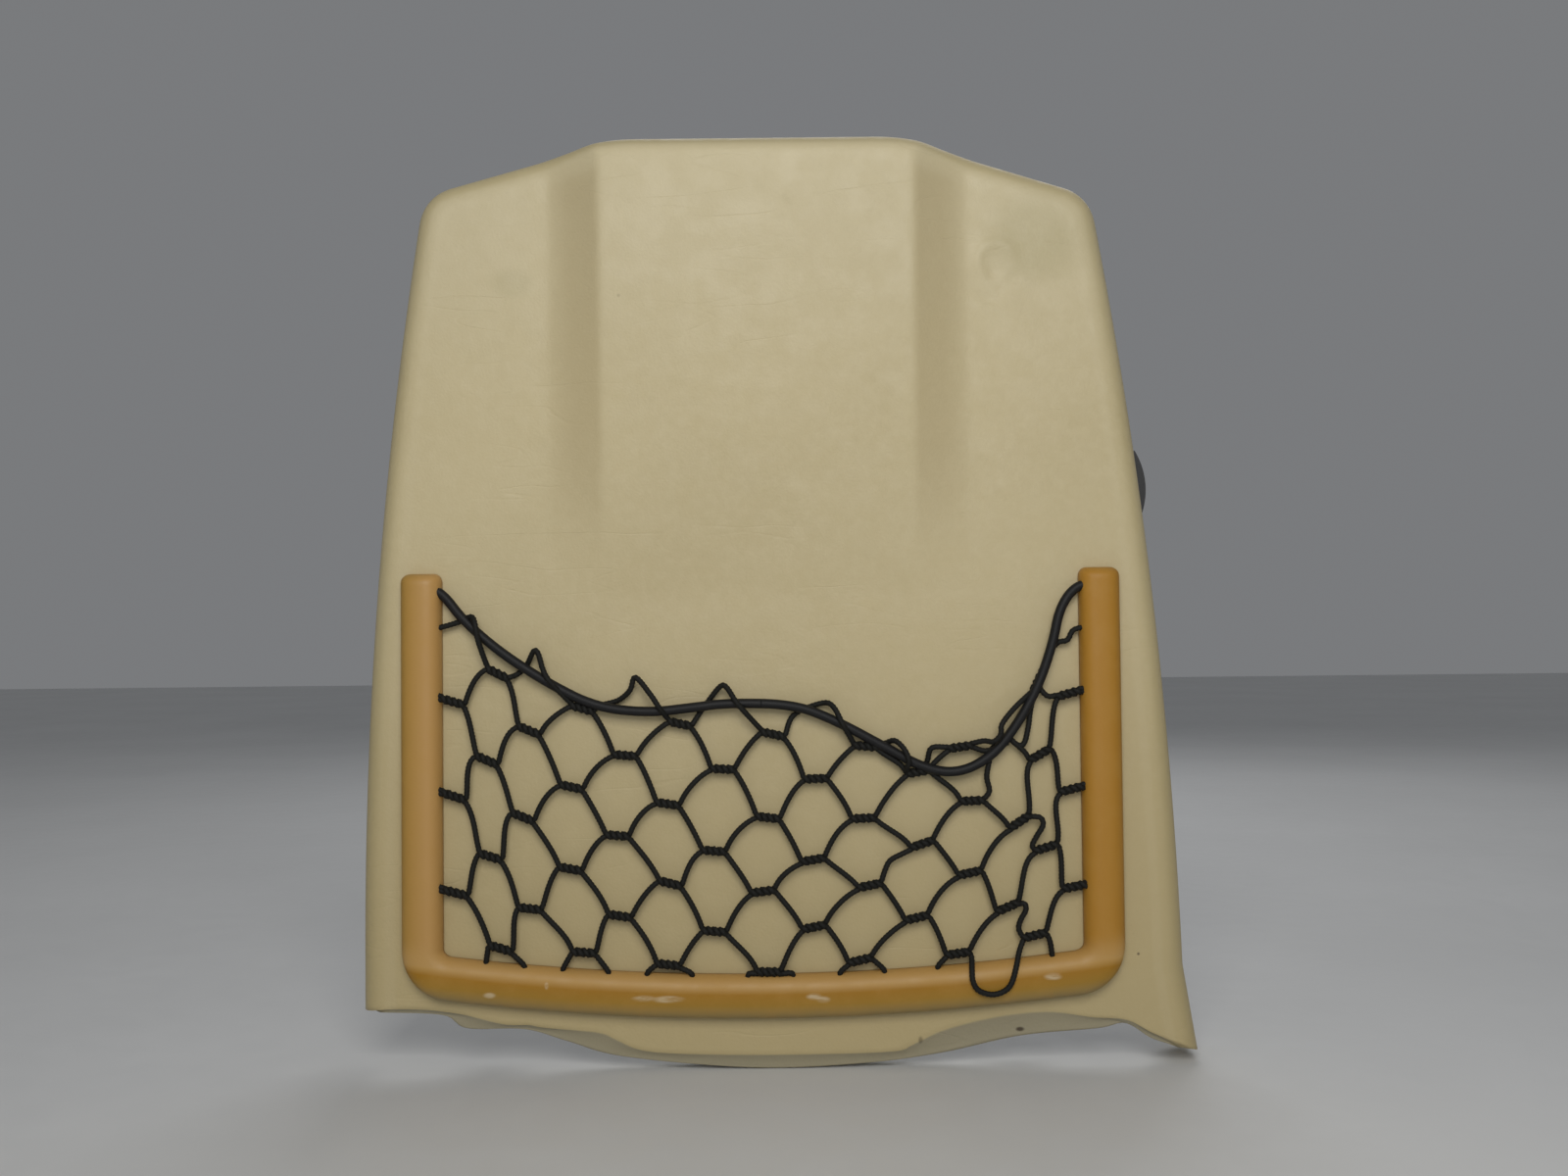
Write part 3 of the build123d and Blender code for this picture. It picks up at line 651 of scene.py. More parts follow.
def panel_grid():
    """Outer and inner corner-matched edges, and the face's grid between the inner ones."""
    left, right, bottom, top = outer_sides()
    inner_left = shrunk(left, -ROLL_INSET)
    inner_right = shrunk(right, ROLL_INSET)
    inner_top = shrunk(top, -ROLL_INSET)
    low_left_x, low_right_x = inner_left[0][0], inner_right[0][0]
    x = np.linspace(low_left_x, low_right_x, 400)
    inner_bottom = np.stack([x, crease_z(x)], axis=1)
    left_above = inner_left[:, 1] > inner_bottom[0][1] + 1
    right_above = inner_right[:, 1] > inner_bottom[-1][1] + 1
    inner_left = np.vstack([inner_bottom[:1], inner_left[left_above]])
    inner_right = np.vstack([inner_bottom[-1:], inner_right[right_above]])
    inner_top[0], inner_top[-1] = inner_left[-1], inner_right[-1]
    cells = (CELLS_UP, CELLS_UP, CELLS_ACROSS, CELLS_ACROSS)
    outer = [spread_along(c, n + 1) for c, n in zip((left, right, bottom, top), cells)]
    inner_four = (inner_left, inner_right, inner_bottom, inner_top)
    inner = [spread_along(c, n + 1) for c, n in zip(inner_four, cells)]
    u = np.linspace(0, 1, CELLS_ACROSS + 1)[None, :, None]
    v = np.linspace(0, 1, CELLS_UP + 1)[:, None, None]
    lf, rt, bt, tp = inner
    across = (1 - u) * lf[:, None] + u * rt[:, None]
    upward = (1 - v) * bt[None] + v * tp[None]
    corners = ((1 - u) * (1 - v) * bt[0] + u * (1 - v) * bt[-1] + (1 - u) * v * tp[0] + u * v * tp[-1])
    return outer, inner, across + upward - corners


def ease(t):
    t = np.clip(t, 0, 1)
    return t * t * (3 - 2 * t)


def crown_rise(x, z):
    """How far the proud middle of the upper half stands out of the flat face."""
    inner, outer = CROWN_HALF
    down = np.clip((np.abs(x) - inner) / (outer - inner), -0.5, 1)
    crest = 0.10
    past_crest = np.where(down < crest, (down + crest)**2 / (4 * crest), down)
    past_crest = np.where(down < -crest, 0.0, past_crest)
    slope = (1 - np.clip(past_crest, 0, 1))**1.3
    height = np.clip((z - CROWN_FOOT_Z) / (CROWN_TOP[0] - CROWN_FOOT_Z), 0, 1)
    return CROWN_TOP[1] * slope * height


def gaussian(distance, reach):
    return np.exp(-(distance / reach)**2)


def pressure_marks(x, z):
    """What the two hooks behind press into the upper face: a ring with dents under it on the right."""
    ring_x, ring_z = x - HOOK_RING[0], z - HOOK_RING[1]
    r = np.hypot(ring_x, ring_z)
    upper_left = 0.5 + 0.5 * (ring_z * 0.8 - ring_x * 0.6) / np.maximum(r, 1)
    rise = 1.5 * gaussian(r - HOOK_RING_R, 3.0) * (0.25 + 0.75 * upper_left)
    rise -= 0.45 * gaussian(r, 7)
    for dent_x, dent_z, deep, reach in HOOK_DENTS:
        rise -= deep * gaussian(np.hypot(x - dent_x, z - dent_z), reach)
    fold_z = 444.5 - 0.30 * (x - 144.5)
    rise -= 1.1 * gaussian(z - fold_z, 2.8) * gaussian(x - 145, 8.5)
    rise += 0.80 * gaussian(np.hypot(x + 148, (z - 464) * 0.8), 15)
    rise -= 0.50 * gaussian(np.hypot(x + 146, z - 456), 8)
    return rise


def waviness(x, z):
    """Soft unevenness of leatherette drawn over foam, with faint tension folds."""
    rise = np.zeros(x.size)
    for index, (px, pz) in enumerate(zip(x.ravel(), z.ravel())):
        broad = noise.noise(Vector((px / 70, pz / 95, 1.7)))
        fine = noise.noise(Vector((px / 22 + pz / 60, pz / 30, 5.1)))
        fold = 1 - abs(noise.noise(Vector((px / 34 + pz / 30, pz / 70 - px / 60, 9.3)))) * 2
        rise[index] = 0.35 * broad + 0.10 * fine + 0.22 * max(0.0, fold - 0.86) / 0.14
    return rise.reshape(x.shape)


def face_rise(x, z):
    return crown_rise(x, z) + pressure_marks(x, z) + waviness(x, z)


def edge_loop(four):
    """The four edges as one loop: bottom, right, top backwards, left downwards."""
    left, right, bottom, top = four
    return np.vstack([bottom[:-1], right[:-1], top[::-1][:-1], left[::-1][:-1]])


def bottom_share(outer_loop):
    """1 along the lower edge, 0 elsewhere, easing off at the two corners."""
    share = np.zeros(len(outer_loop))
    x = outer_loop[:CELLS_ACROSS, 0]
    share[:CELLS_ACROSS] = ease((x + 250) / 14) * ease((266 - x) / 14)
    return share


def rear_depth(outer_loop, share):
    """How far back the walls reach: short along the bottom lip, deep elsewhere."""
    lip = BOTTOM_LIP_DEPTH + 1.4
    return HEM_DEPTH + (lip - HEM_DEPTH) * share


def panel_rings():
    """The cover's outer surface: the face's grid, its rise, and the rings from the face's edge to the hem.

    Each ring holds its points' (x, z) and depths, and how far they are in the rolled edge and in the bottom
    lip, from 0 to 1.
    """
    outer, inner, grid = panel_grid()
    outer_loop, inner_loop = edge_loop(outer), edge_loop(inner)
    share = bottom_share(outer_loop)
    rear = rear_depth(outer_loop, share)
    inward = inner_loop - outer_loop
    inward /= np.linalg.norm(inward, axis=1)[:, None]
    grid_rise = face_rise(grid[..., 0], grid[..., 1])
    loop_rise = face_rise(inner_loop[:, 0], inner_loop[:, 1])
    rings = []
    for step in range(1, ROLL_RINGS + 1):
        t = step / ROLL_RINGS
        turn = t * pi / 2
        inset = (1 - sin(turn)) * (1 - share) + (1 - t) * share
        depth = ROLL_DEPTH * (1 - cos(turn)) * (1 - share) + LIP_STEP * (1 - (1 - t)**2) * share
        place = outer_loop + (inner_loop - outer_loop) * inset[:, None]
        in_edge = ease((t - 0.06) * 2.6) * (1 - share)
        in_lip = ease(t * 9) * share
        rings.append((place, depth - loop_rise * cos(turn), in_edge, in_lip))
    front = rings[-1][1]
    for part in WALL_PARTS:
        rings.append((outer_loop, front + (rear - HEM_BEND - front) * part, 1 - share, share))
    for part in HEM_BEND_PARTS:
        turn = part * pi / 2
        place = outer_loop + inward * HEM_BEND * (1 - cos(turn))
        rings.append((place, rear - HEM_BEND * (1 - sin(turn)), 1 - share, share))
    for part in HEM_PARTS:
        place = outer_loop + inward * (HEM_BEND + (HEM_WIDTH - HEM_BEND) * part)
        rings.append((place, rear, 1 - share, share))
    return grid, grid_rise, rings


def inner_line(grid):
    """-1 along the slight crest just inside the rolled edge, easing to 0; the leatherette paints a highlight
    there.
    """
    rows, columns = grid.shape[:2]
    row, column = np.mgrid[0:rows, 0:columns]
    cells = np.minimum(np.minimum(column, columns - 1 - column), rows - 1 - row)
    return -gaussian(cells - 1.5, 1.4)


def panel_mesh(name, grid, grid_rise, rings):
    """One surface from the face's grid and the rings round it."""
    rows, columns = grid.shape[:2]
    vertices = [to_world(x, -rise, z) for (x, z), rise in zip(grid.reshape(-1, 2), grid_rise.ravel())]
    faces = grid_faces(0, rows, columns)
    loop = grid_border(rows, columns)
    edge, lip = [inner_line(grid).ravel()], [np.zeros(rows * columns)]
    for place, depth, in_edge, in_lip in rings:
        first = len(vertices)
        vertices += [to_world(x, d, z) for (x, z), d in zip(place, depth)]
        edge.append(in_edge)
        lip.append(in_lip)
        count = len(loop)
        for index in range(count):
            after = (index + 1) % count
            faces.append((loop[index], first + index, first + after, loop[after]))
        loop = [first + index for index in range(count)]
    item = new_object(name, vertices, faces)
    for attribute_name, values in (("edge", edge), ("lip", lip)):
        attribute = item.data.attributes.new(attribute_name, "FLOAT", "POINT")
        attribute.data.foreach_set("value", np.concatenate(values))
    return item


def applied(item):
    """Put an object's modifiers into its mesh."""
    evaluated = item.evaluated_get(bpy.context.evaluated_depsgraph_get())
    mesh = bpy.data.meshes.new_from_object(evaluated)
    item.modifiers.clear()
    item.data = mesh
    return item


def thickened(item, thickness, sunk=0.0):
    """Give a surface a thickness that starts that far behind it, and keep it above the lower edge."""
    solid = item.modifiers.new("thickness", "SOLIDIFY")
    solid.thickness = thickness * MM
    solid.offset = -1.0 - 2 * sunk / thickness
    item = applied(item)
    for vertex in item.data.vertices:
        vertex.co.z = max(vertex.co.z, (lower_z(vertex.co.x / MM) + 0.5 * sunk) * MM)
    return item


COVER_THICK = 1.3
FOAM_THICK = 3.0
FOAM_GAP = 0.15
HEM_RINGS = len(HEM_BEND_PARTS) + len(HEM_PARTS)

grid, grid_rise, rings = panel_rings()
cover = panel_mesh("leather_cover_skin", grid, grid_rise, rings)
# the foam has no hem, and skips the wall's first two rings, which keeps it inside the lower corners
foam_rings = rings[:ROLL_RINGS] + rings[ROLL_RINGS + 2:-HEM_RINGS]
foam = panel_mesh("foam_layer", grid, grid_rise, foam_rings)
cover = thickened(cover, COVER_THICK)
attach(cover, "panel")
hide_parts("leather_cover")

foam = thickened(foam, FOAM_THICK, COVER_THICK + FOAM_GAP)
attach(foam, "panel")
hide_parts("foam_padding")

# ------------ felt pads and the net's edge cord

PAD_PLACES = [(x, z) for x in (-105.0, 105.0) for z in (120.0, 250.0)]
PAD_HALF = (24.0, 11.0)
PAD_DEPTH = (7.6, 11.6)
PAD_CELLS = (48, 22)


def felt_pad(vertices, faces, centre_x, centre_z):
    """A pad with rounded edges and an uneven, fluffy back."""
    columns, rows = PAD_CELLS
    first = len(vertices)
    front, back = PAD_DEPTH
    for is_back in (False, True):
        for row in range(rows + 1):
            for column in range(columns + 1):
                u, v = 2 * column / columns - 1, 2 * row / rows - 1
                x = centre_x + PAD_HALF[0] * u * (1 - 0.02 * v * v)
                z = centre_z + PAD_HALF[1] * v * (1 - 0.03 * u * u)
                edge = max(0.0, (1 - abs(u)**14) * (1 - abs(v)**9))**0.5
                fluff = 0.25 * noise.noise(Vector((x / 3.0, z / 3.0, 4.0)))
                depth = front
                if is_back:
                    depth += (back - front) * (0.25 + 0.70 * edge) + fluff * edge
                vertices.append(to_world(x, depth, z))
    size = (rows + 1) * (columns + 1)
    faces += grid_faces(first, rows + 1, columns + 1)
    faces += [face[::-1] for face in grid_faces(first + size, rows + 1, columns + 1)]
    loop = grid_border(rows + 1, columns + 1)
    for index, here in enumerate(loop):
        after = loop[(index + 1) % len(loop)]
        faces.append((first + here, first + size + here, first + size + after, first + after))


vertices, faces = [], []
for pad_x, pad_z in PAD_PLACES:
    felt_pad(vertices, faces, pad_x, pad_z)
felt_pads = new_object("felt_pads", vertices, faces)
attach(felt_pads, "panel")
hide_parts("anti_rattle_pads")

# ------------ U-shaped moulding

ARM_END_R = 5.5
MID_BAR = 100.0                   # stands for any place that is far from the bar's ends
GROOVE = (2.5, 10.5, 9.0)
DOME_POWER = 2.7
FOOT_HIGH = 1.3                   # the moulding stands on a narrower foot, which leaves a dark line round it
FOOT_INSET = 1.1
STUD_R = 2.0
STUD_LENGTH = 11.0
STUD_CHAMFER = 0.7
STUD_SIDES = 20
STUD_FROM_INSIDE = 18.5
ARM_STUD_Z = (60.0, 150.0, 240.0)
RAIL_STUD_X = (-120.0, 0.0, 120.0)


def frame_stations():
    """Matching points of the U's outer and inner edges, from the left arm's top to the right arm's top."""
    chord = RAIL_CHORD
    corner_z = FRAME_BOTTOM_Z + FRAME_RAIL_RISE
    centre_z = corner_z + FRAME_CORNER_R
    inner_r = FRAME_CORNER_R - FRAME_BAR
    stations = []
    end_steps = [0.0, 0.25, 0.6, 1.1, 1.8, 2.8, 4.0, 5.5, 7.5, 10.0]
    arm = [FRAME_TOP_Z - s for s in end_steps]
    arm += list(np.linspace(FRAME_TOP_Z - 16, centre_z + 4, 46))
    for z in arm:
        stations.append(((FRAME_HALF, z), (FRAME_HALF - FRAME_BAR, z), FRAME_TOP_Z - z))
    lean = np.arctan2(chord, RAIL_ARC_R - FRAME_RAIL_RISE)
    for angle in np.linspace(0, pi / 2 - lean, 14):
        outer = (chord + FRAME_CORNER_R * cos(angle), centre_z - FRAME_CORNER_R * sin(angle))
        inner = (chord + inner_r * cos(angle), centre_z + RAIL_EXTRA * sin(angle) - inner_r * sin(angle))
        stations.append((outer, inner, MID_BAR))
    for x in np.linspace(chord - 8, 0, 36):
        stations.append(((x, rail_edge(x, 0)), (x, rail_edge(x, RAIL_TOP)), MID_BAR))
    mirrored = [((-a[0], a[1]), (-b[0], b[1]), s) for a, b, s in stations[:-1]]
    return mirrored + stations[::-1]


def moulding_profile(from_end):
    """The section as (share from the inner to the outer edge, depth), smaller near an arm's end."""
    end = min(1.0, from_end / 6.5)
    front = max(0.04, (1 - (1 - end)**2.4)**(1 / 2.4))
    narrow = 0.0
    if from_end < ARM_END_R:
        narrow = (ARM_END_R - sqrt(ARM_END_R**2 - (ARM_END_R - from_end)**2)) / FRAME_BAR
    section = []
    for index in range(29):
        turn = pi * index / 28
        across = -cos(turn)
        share = 0.5 + 0.5 * np.sign(across) * abs(across)**0.80
        high = (1 - abs(2 * share - 1)**DOME_POWER)**(1 / DOME_POWER)
        section.append((share, -front * (FOOT_HIGH + (FRAME_PROUD - FOOT_HIGH) * high)))
    foot = FOOT_INSET / FRAME_BAR
    section = [(foot, -0.0), (foot, -0.8 * FOOT_HIGH * front)] + section
    section += [(1 - foot, -0.8 * FOOT_HIGH * front), (1 - foot, -0.0)]
    low, high, deep = (GROOVE[0] / FRAME_BAR, GROOVE[1] / FRAME_BAR, GROOVE[2])
    deep *= float(np.clip((from_end - 4) / 3, 0.02, 1))
    section += [(high, -0.0), (high, -deep), (low, -deep), (low, -0.0)]
    return [(narrow + share * (1 - 2 * narrow), depth) for share, depth in section]


def build_moulding():
    vertices, faces = [], []
    stations = frame_stations()
    for outer, inner, from_end in stations:
        outer, inner = np.array(outer), np.array(inner)
        for share, depth in moulding_profile(from_end):
            x, z = inner + (outer - inner) * share
            vertices.append(to_world(x, depth, z))
    faces += tube_faces(0, len(stations), len(moulding_profile(MID_BAR)))
    stud_x = FRAME_HALF - FRAME_BAR + STUD_FROM_INSIDE
    places = [(x, z) for x in (-stud_x, stud_x) for z in ARM_STUD_Z]
    places += [(x, rail_edge(x, FRAME_BAR - STUD_FROM_INSIDE)) for x in RAIL_STUD_X]
    for x, z in places:
        add_stud(vertices, faces, x, z)
    return new_object("pocket_moulding", vertices, faces)


def add_stud(vertices, faces, x, z):
    """A round stud with a chamfered tip, from inside the moulding into the panel."""
    chamfer = STUD_CHAMFER
    rings = [(-2.0, STUD_R), (STUD_LENGTH - chamfer, STUD_R), (STUD_LENGTH, STUD_R - chamfer)]
    faces += [face[::-1] for face in tube_faces(len(vertices), len(rings), STUD_SIDES)]
    for depth, radius in rings:
        for side in range(STUD_SIDES):
            angle = 2 * pi * side / STUD_SIDES
            vertices.append(to_world(x + radius * cos(angle), depth, z + radius * sin(angle)))


moulding = build_moulding()
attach(moulding, "panel")
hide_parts("pocket_frame")

EDGE_CORD_R = 2.0
EDGE_CORD_STEP = 0.8
EDGE_CORD_SIDES = 18
EDGE_CORD_DEPTH = -5.6
EDGE_CORD_TOP_Z = FRAME_TOP_Z - 36


def build_edge_cord():
    """The three-ply cord that holds the net's edge in the moulding's groove."""
    middle = (GROOVE[0] + GROOVE[1]) / 2 / FRAME_BAR
    line = []
    for outer, inner, _ in frame_stations():
        x, z = np.array(inner) + (np.array(outer) - np.array(inner)) * middle
        if z < EDGE_CORD_TOP_Z:
            line.append((x, FACE_Y + EDGE_CORD_DEPTH, z))
    return tube("edge_cord", resampled(line, EDGE_CORD_STEP), EDGE_CORD_R, EDGE_CORD_SIDES, plies)


edge_cord = build_edge_cord()
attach(edge_cord, "panel")
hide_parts("net_edge_cord")

# ------------ materials


class Nodes:
    """Short ways to make the nodes of one material."""

    def __init__(self, name):
        self.material = bpy.data.materials.new(name)
        self.material.use_nodes = True
        self.tree = self.material.node_tree
        self.tree.nodes.clear()
        self.shader = self.node("ShaderNodeBsdfPrincipled")
        output = self.node("ShaderNodeOutputMaterial")
        self.join(self.shader.outputs[0], output.inputs["Surface"])
        self.place = self.node("ShaderNodeTexCoord").outputs["Object"]

    def node(self, kind, **settings):
        made = self.tree.nodes.new(kind)
        for key, value in settings.items():
            setattr(made, key, value)
        return made

    def join(self, source, target):
        self.tree.links.new(source, target)

    def set(self, **values):
        for key, value in values.items():
            self.shader.inputs[key.replace("_", " ")].default_value = value

    def stretched(self, scale, source=None):
        mapping = self.node("ShaderNodeMapping")
        mapping.inputs["Scale"].default_value = scale
        self.join(source or self.place, mapping.inputs["Vector"])
        return mapping.outputs[0]

    def noise(self, scale, detail=3.0, rough=0.5, source=None):
        made = self.node("ShaderNodeTexNoise")
        made.inputs["Scale"].default_value = scale
        made.inputs["Detail"].default_value = detail
        made.inputs["Roughness"].default_value = rough
        self.join(source or self.place, made.inputs["Vector"])
        return made.outputs["Fac"]

    def cells(self, scale, feature="F1", source=None):
        made = self.node("ShaderNodeTexVoronoi", feature=feature)
        made.inputs["Scale"].default_value = scale
        self.join(source or self.place, made.inputs["Vector"])
        return made.outputs["Distance"]

    def ramp(self, source, *stops):
        made = self.node("ShaderNodeValToRGB")
        elements = made.color_ramp.elements
        while len(elements) < len(stops):
            elements.new(0.5)
        for element, (position, colour) in zip(elements, stops):
            element.position = position
            element.color = (*colour, 1.0) if len(colour) == 3 else colour
        self.join(source, made.inputs[0])
        return made.outputs["Color"]

    def span(self, source, low, high, to_low=0.0, to_high=1.0, smooth=True):
        made = self.node("ShaderNodeMapRange")
        if smooth:
            made.interpolation_type = "SMOOTHSTEP"
        limits = {"From Min": low, "From Max": high, "To Min": to_low, "To Max": to_high}
        for name, value in limits.items():
            made.inputs[name].default_value = value
        self.join(source, made.inputs["Value"])
        return made.outputs["Result"]

    def maths(self, operation, a, b=None, c=None):
        made = self.node("ShaderNodeMath", operation=operation)
        for index, value in enumerate((a, b, c)):
            if value is None:
                continue
            if isinstance(value, (int, float)):
                made.inputs[index].default_value = value
            else:
                self.join(value, made.inputs[index])
        return made.outputs[0]

    def times(self, a, b):
        return self.maths("MULTIPLY", a, b)

    def mix(self, share, a, b):
        made = self.node("ShaderNodeMix", data_type="RGBA")
        for socket, value in ((0, share), (6, a), (7, b)):
            if isinstance(value, tuple):
                made.inputs[socket].default_value = (*value, 1.0)
            elif isinstance(value, (int, float)):
                made.inputs[socket].default_value = value
            else:
                self.join(value, made.inputs[socket])
        return made.outputs[2]

    def mark(self, name):
        return self.node("ShaderNodeAttribute", attribute_name=name).outputs["Fac"]

    def split(self):
        made = self.node("ShaderNodeSeparateXYZ")
        self.join(self.place, made.inputs[0])
        return made.outputs

    def spot(self, point, reach):
        """1 at a point in millimetres, falling to 0 at each reach along x, y and z."""
        offset = self.node("ShaderNodeVectorMath", operation="SUBTRACT")
        self.join(self.place, offset.inputs[0])
        offset.inputs[1].default_value = to_world(*point)
        scaled = self.node("ShaderNodeVectorMath", operation="DIVIDE")
        self.join(offset.outputs[0], scaled.inputs[0])
        scaled.inputs[1].default_value = Vector(reach) * MM
        length = self.node("ShaderNodeVectorMath", operation="LENGTH")
        self.join(scaled.outputs[0], length.inputs[0])
        return self.span(length.outputs["Value"], 1.0, 0.35)

    def spots(self, base, spots, colour):
        """The colour base with spots of another: each a point, its reaches and how strong it is."""
        for point, reach, share in spots:
            base = self.mix(self.times(self.spot(point, reach), share), base, colour)
        return base

    def colour(self, source):
        self.join(source, self.shader.inputs["Base Color"])

    def roughness(self, source):
        self.join(source, self.shader.inputs["Roughness"])

    def bump(self, height, distance, strength=1.0):
        made = self.node("ShaderNodeBump")
        made.inputs["Distance"].default_value = distance * MM
        made.inputs["Strength"].default_value = strength
        self.join(height, made.inputs["Height"])
        self.join(made.outputs[0], self.shader.inputs["Normal"])


# marks in the materials: (x, depth, z), the reach along each axis, and how strong the mark is
# painted shade: two soft darker patches in the upper face that stand in for shallow hollows
PAINTED_HOLLOW_SHADE = [((174, -6, 482), (42, 40, 38), 0.50), ((-153, -8, 457), (18, 40, 13), 0.35)]
STAINS = [
    ((157.7, 3, -9), (3.6, 9, 2.0), 0.9), ((230.9, 0, 37.1), (1.2, 5, 1.2), 0.7),
    ((96, 2, -14.4), (2.0, 8, 3.2), 0.5), ((183, 0, 36.5), (2.0, 4, 1.3), 0.8),
    ((-85.3, 0, 446), (2.0, 20, 2.0), 0.35), ((81.8, 0, 513), (3.0, 20, 2.0), 0.22),
]
SCUFFS = [
    ((-166.7, -12, 18.9), (4.8, 6, 2.4), 0.60), ((-132, -12, 24.5), (1.7, 6, 3.0), 0.45),
    ((-73, -12, 16.2), (9.0, 6, 2.4), 0.50), ((-58, -12, 15.5), (12.0, 6, 2.8), 0.65),
    ((30.5, -12, 16.2), (6.0, 6, 2.8), 0.60), ((36.0, -12, 14.4), (5.5, 6, 2.6), 0.60),
    ((175.7, -12, 26.9), (7.0, 6, 3.0), 0.60),
]


def leatherette_colour(n):
    """Cream with random tone and grime, plus painted light and shade: a painted sheen makes it paler above,
    painted shade makes it browner below, painted shade darkens the crown's flanks, the rolled edge, the
    bottom lip and two hollows, a painted highlight runs along the crest inside the rolled edge, and there
    are dark stains.
    """
    x, _, z = n.split()
    broad = n.noise(4.5, 4.0, 0.55)
    base = n.ramp(broad, (0.30, (0.515, 0.430, 0.245)), (0.70, (0.575, 0.485, 0.285)))
    fine = n.noise(160.0, 3.0, 0.6)
    base = n.mix(n.span(fine, 0.35, 0.75, 0.0, 0.35), base, (0.60, 0.515, 0.315))
    # painted light: paler towards the top as a painted sheen of the light from above, and browner towards
    # the bottom as painted shade
    base = n.mix(n.span(z, 0.36, 0.52, 0.0, 0.45), base, (0.60, 0.530, 0.355))
    base = n.mix(n.span(z, 0.36, 0.02, 0.0, 0.75), base, (0.465, 0.368, 0.182))
    grime = n.span(n.noise(38.0, 5.0, 0.7), 0.60, 0.78, 0.0, 0.22)
    base = n.mix(grime, base, (0.42, 0.36, 0.20))
    # painted shade: the crown's flanks are darkened in the colour by their position
    from_middle = n.maths("ABSOLUTE", x)
    flank_shade = n.times(n.span(from_middle, 0.094, 0.101), n.span(from_middle, 0.140, 0.112))
    flank_shade = n.times(flank_shade, n.span(z, 0.27, 0.36))
    flank_shade = n.times(flank_shade, n.span(z, 0.535, 0.515))
    base = n.mix(n.times(flank_shade, 0.55), base, (0.455, 0.370, 0.205))
    edge = n.mark("edge")
    # painted shade: the rolled edge is darker and yellower, more so along the top
    rim_shade = n.times(n.span(edge, 0.05, 0.9), n.span(z, 0.44, 0.53, 0.25, 0.42))
    base = n.mix(rim_shade, base, (0.440, 0.355, 0.160))
    # painted highlight: a paler line along the crest just inside the rolled edge
    base = n.mix(n.span(edge, -0.1, -0.9, 0.0, 0.10), base, (0.640, 0.560, 0.370))
    # painted shade on the bottom lip, which turns down and back
    base = n.mix(n.times(n.mark("lip"), 0.92), base, (0.315, 0.282, 0.192))
    # painted shade of the two hollows
    base = n.spots(base, PAINTED_HOLLOW_SHADE, (0.445, 0.385, 0.215))
    n.colour(n.spots(base, STAINS, (0.055, 0.035, 0.02)))


def leatherette():
    n = Nodes("leatherette")
    leatherette_colour(n)
    n.roughness(n.span(n.noise(60.0, 3.0, 0.6), 0.3, 0.7, 0.46, 0.60))
    n.set(Specular_IOR_Level=0.42)
    grain = n.cells(620.0, "SMOOTH_F1")
    pores = n.noise(1500.0, 2.0, 0.5)
    height = n.maths("ADD", n.times(grain, 0.7), n.times(pores, 0.35))
    lines = n.noise(22.0, 1.6, 0.5, n.stretched((0.45, 1.0, 2.2)))
    wrinkles = n.span(n.maths("ABSOLUTE", n.maths("SUBTRACT", lines, 0.5)), 0.0, 0.018, 1.0, 0.0)
    wrinkles = n.times(wrinkles, n.span(n.noise(11.0, 2.0, 0.5), 0.50, 0.66))
    height = n.maths("SUBTRACT", height, n.times(wrinkles, 0.85))
    crinkles = n.noise(34.0, 2.0, 0.5, n.stretched((14.0, 1.0, 1.0)))
    crinkles = n.times(crinkles, n.spot((-99, -14, 463), (9, 40, 17)))
    height = n.maths("ADD", height, n.times(crinkles, 1.6))
    n.bump(height, 0.22, 0.55)
    return n.material


# painted light and shade across the arms, from the left arm's outer side to the right arm's: the outer sides
# darker as painted shade, the left arm's inner side peach as a painted highlight, and the left arm paler
# than the right as painted light
ARM_PAINTED_LIGHT = [
    (0.02, (0.400, 0.225, 0.040)), (0.055, (0.490, 0.280, 0.090)), (0.90, (0.430, 0.205, 0.022)),
    (0.96, (0.420, 0.205, 0.026)), (1.0, (0.330, 0.155, 0.012)),
]
# painted light across the rail, from its lower edge to its upper edge: an olive painted reflection of the
# floor along the lower edge, amber in the middle, and a pale painted highlight along the upper edge
RAIL_PAINTED_LIGHT = [
    (0.0, (0.290, 0.240, 0.125)), (0.32, (0.330, 0.215, 0.062)), (0.50, (0.340, 0.190, 0.025)),
    (0.77, (0.350, 0.168, 0.010)), (0.96, (0.490, 0.290, 0.085)), (1.0, (0.500, 0.300, 0.100)),
]


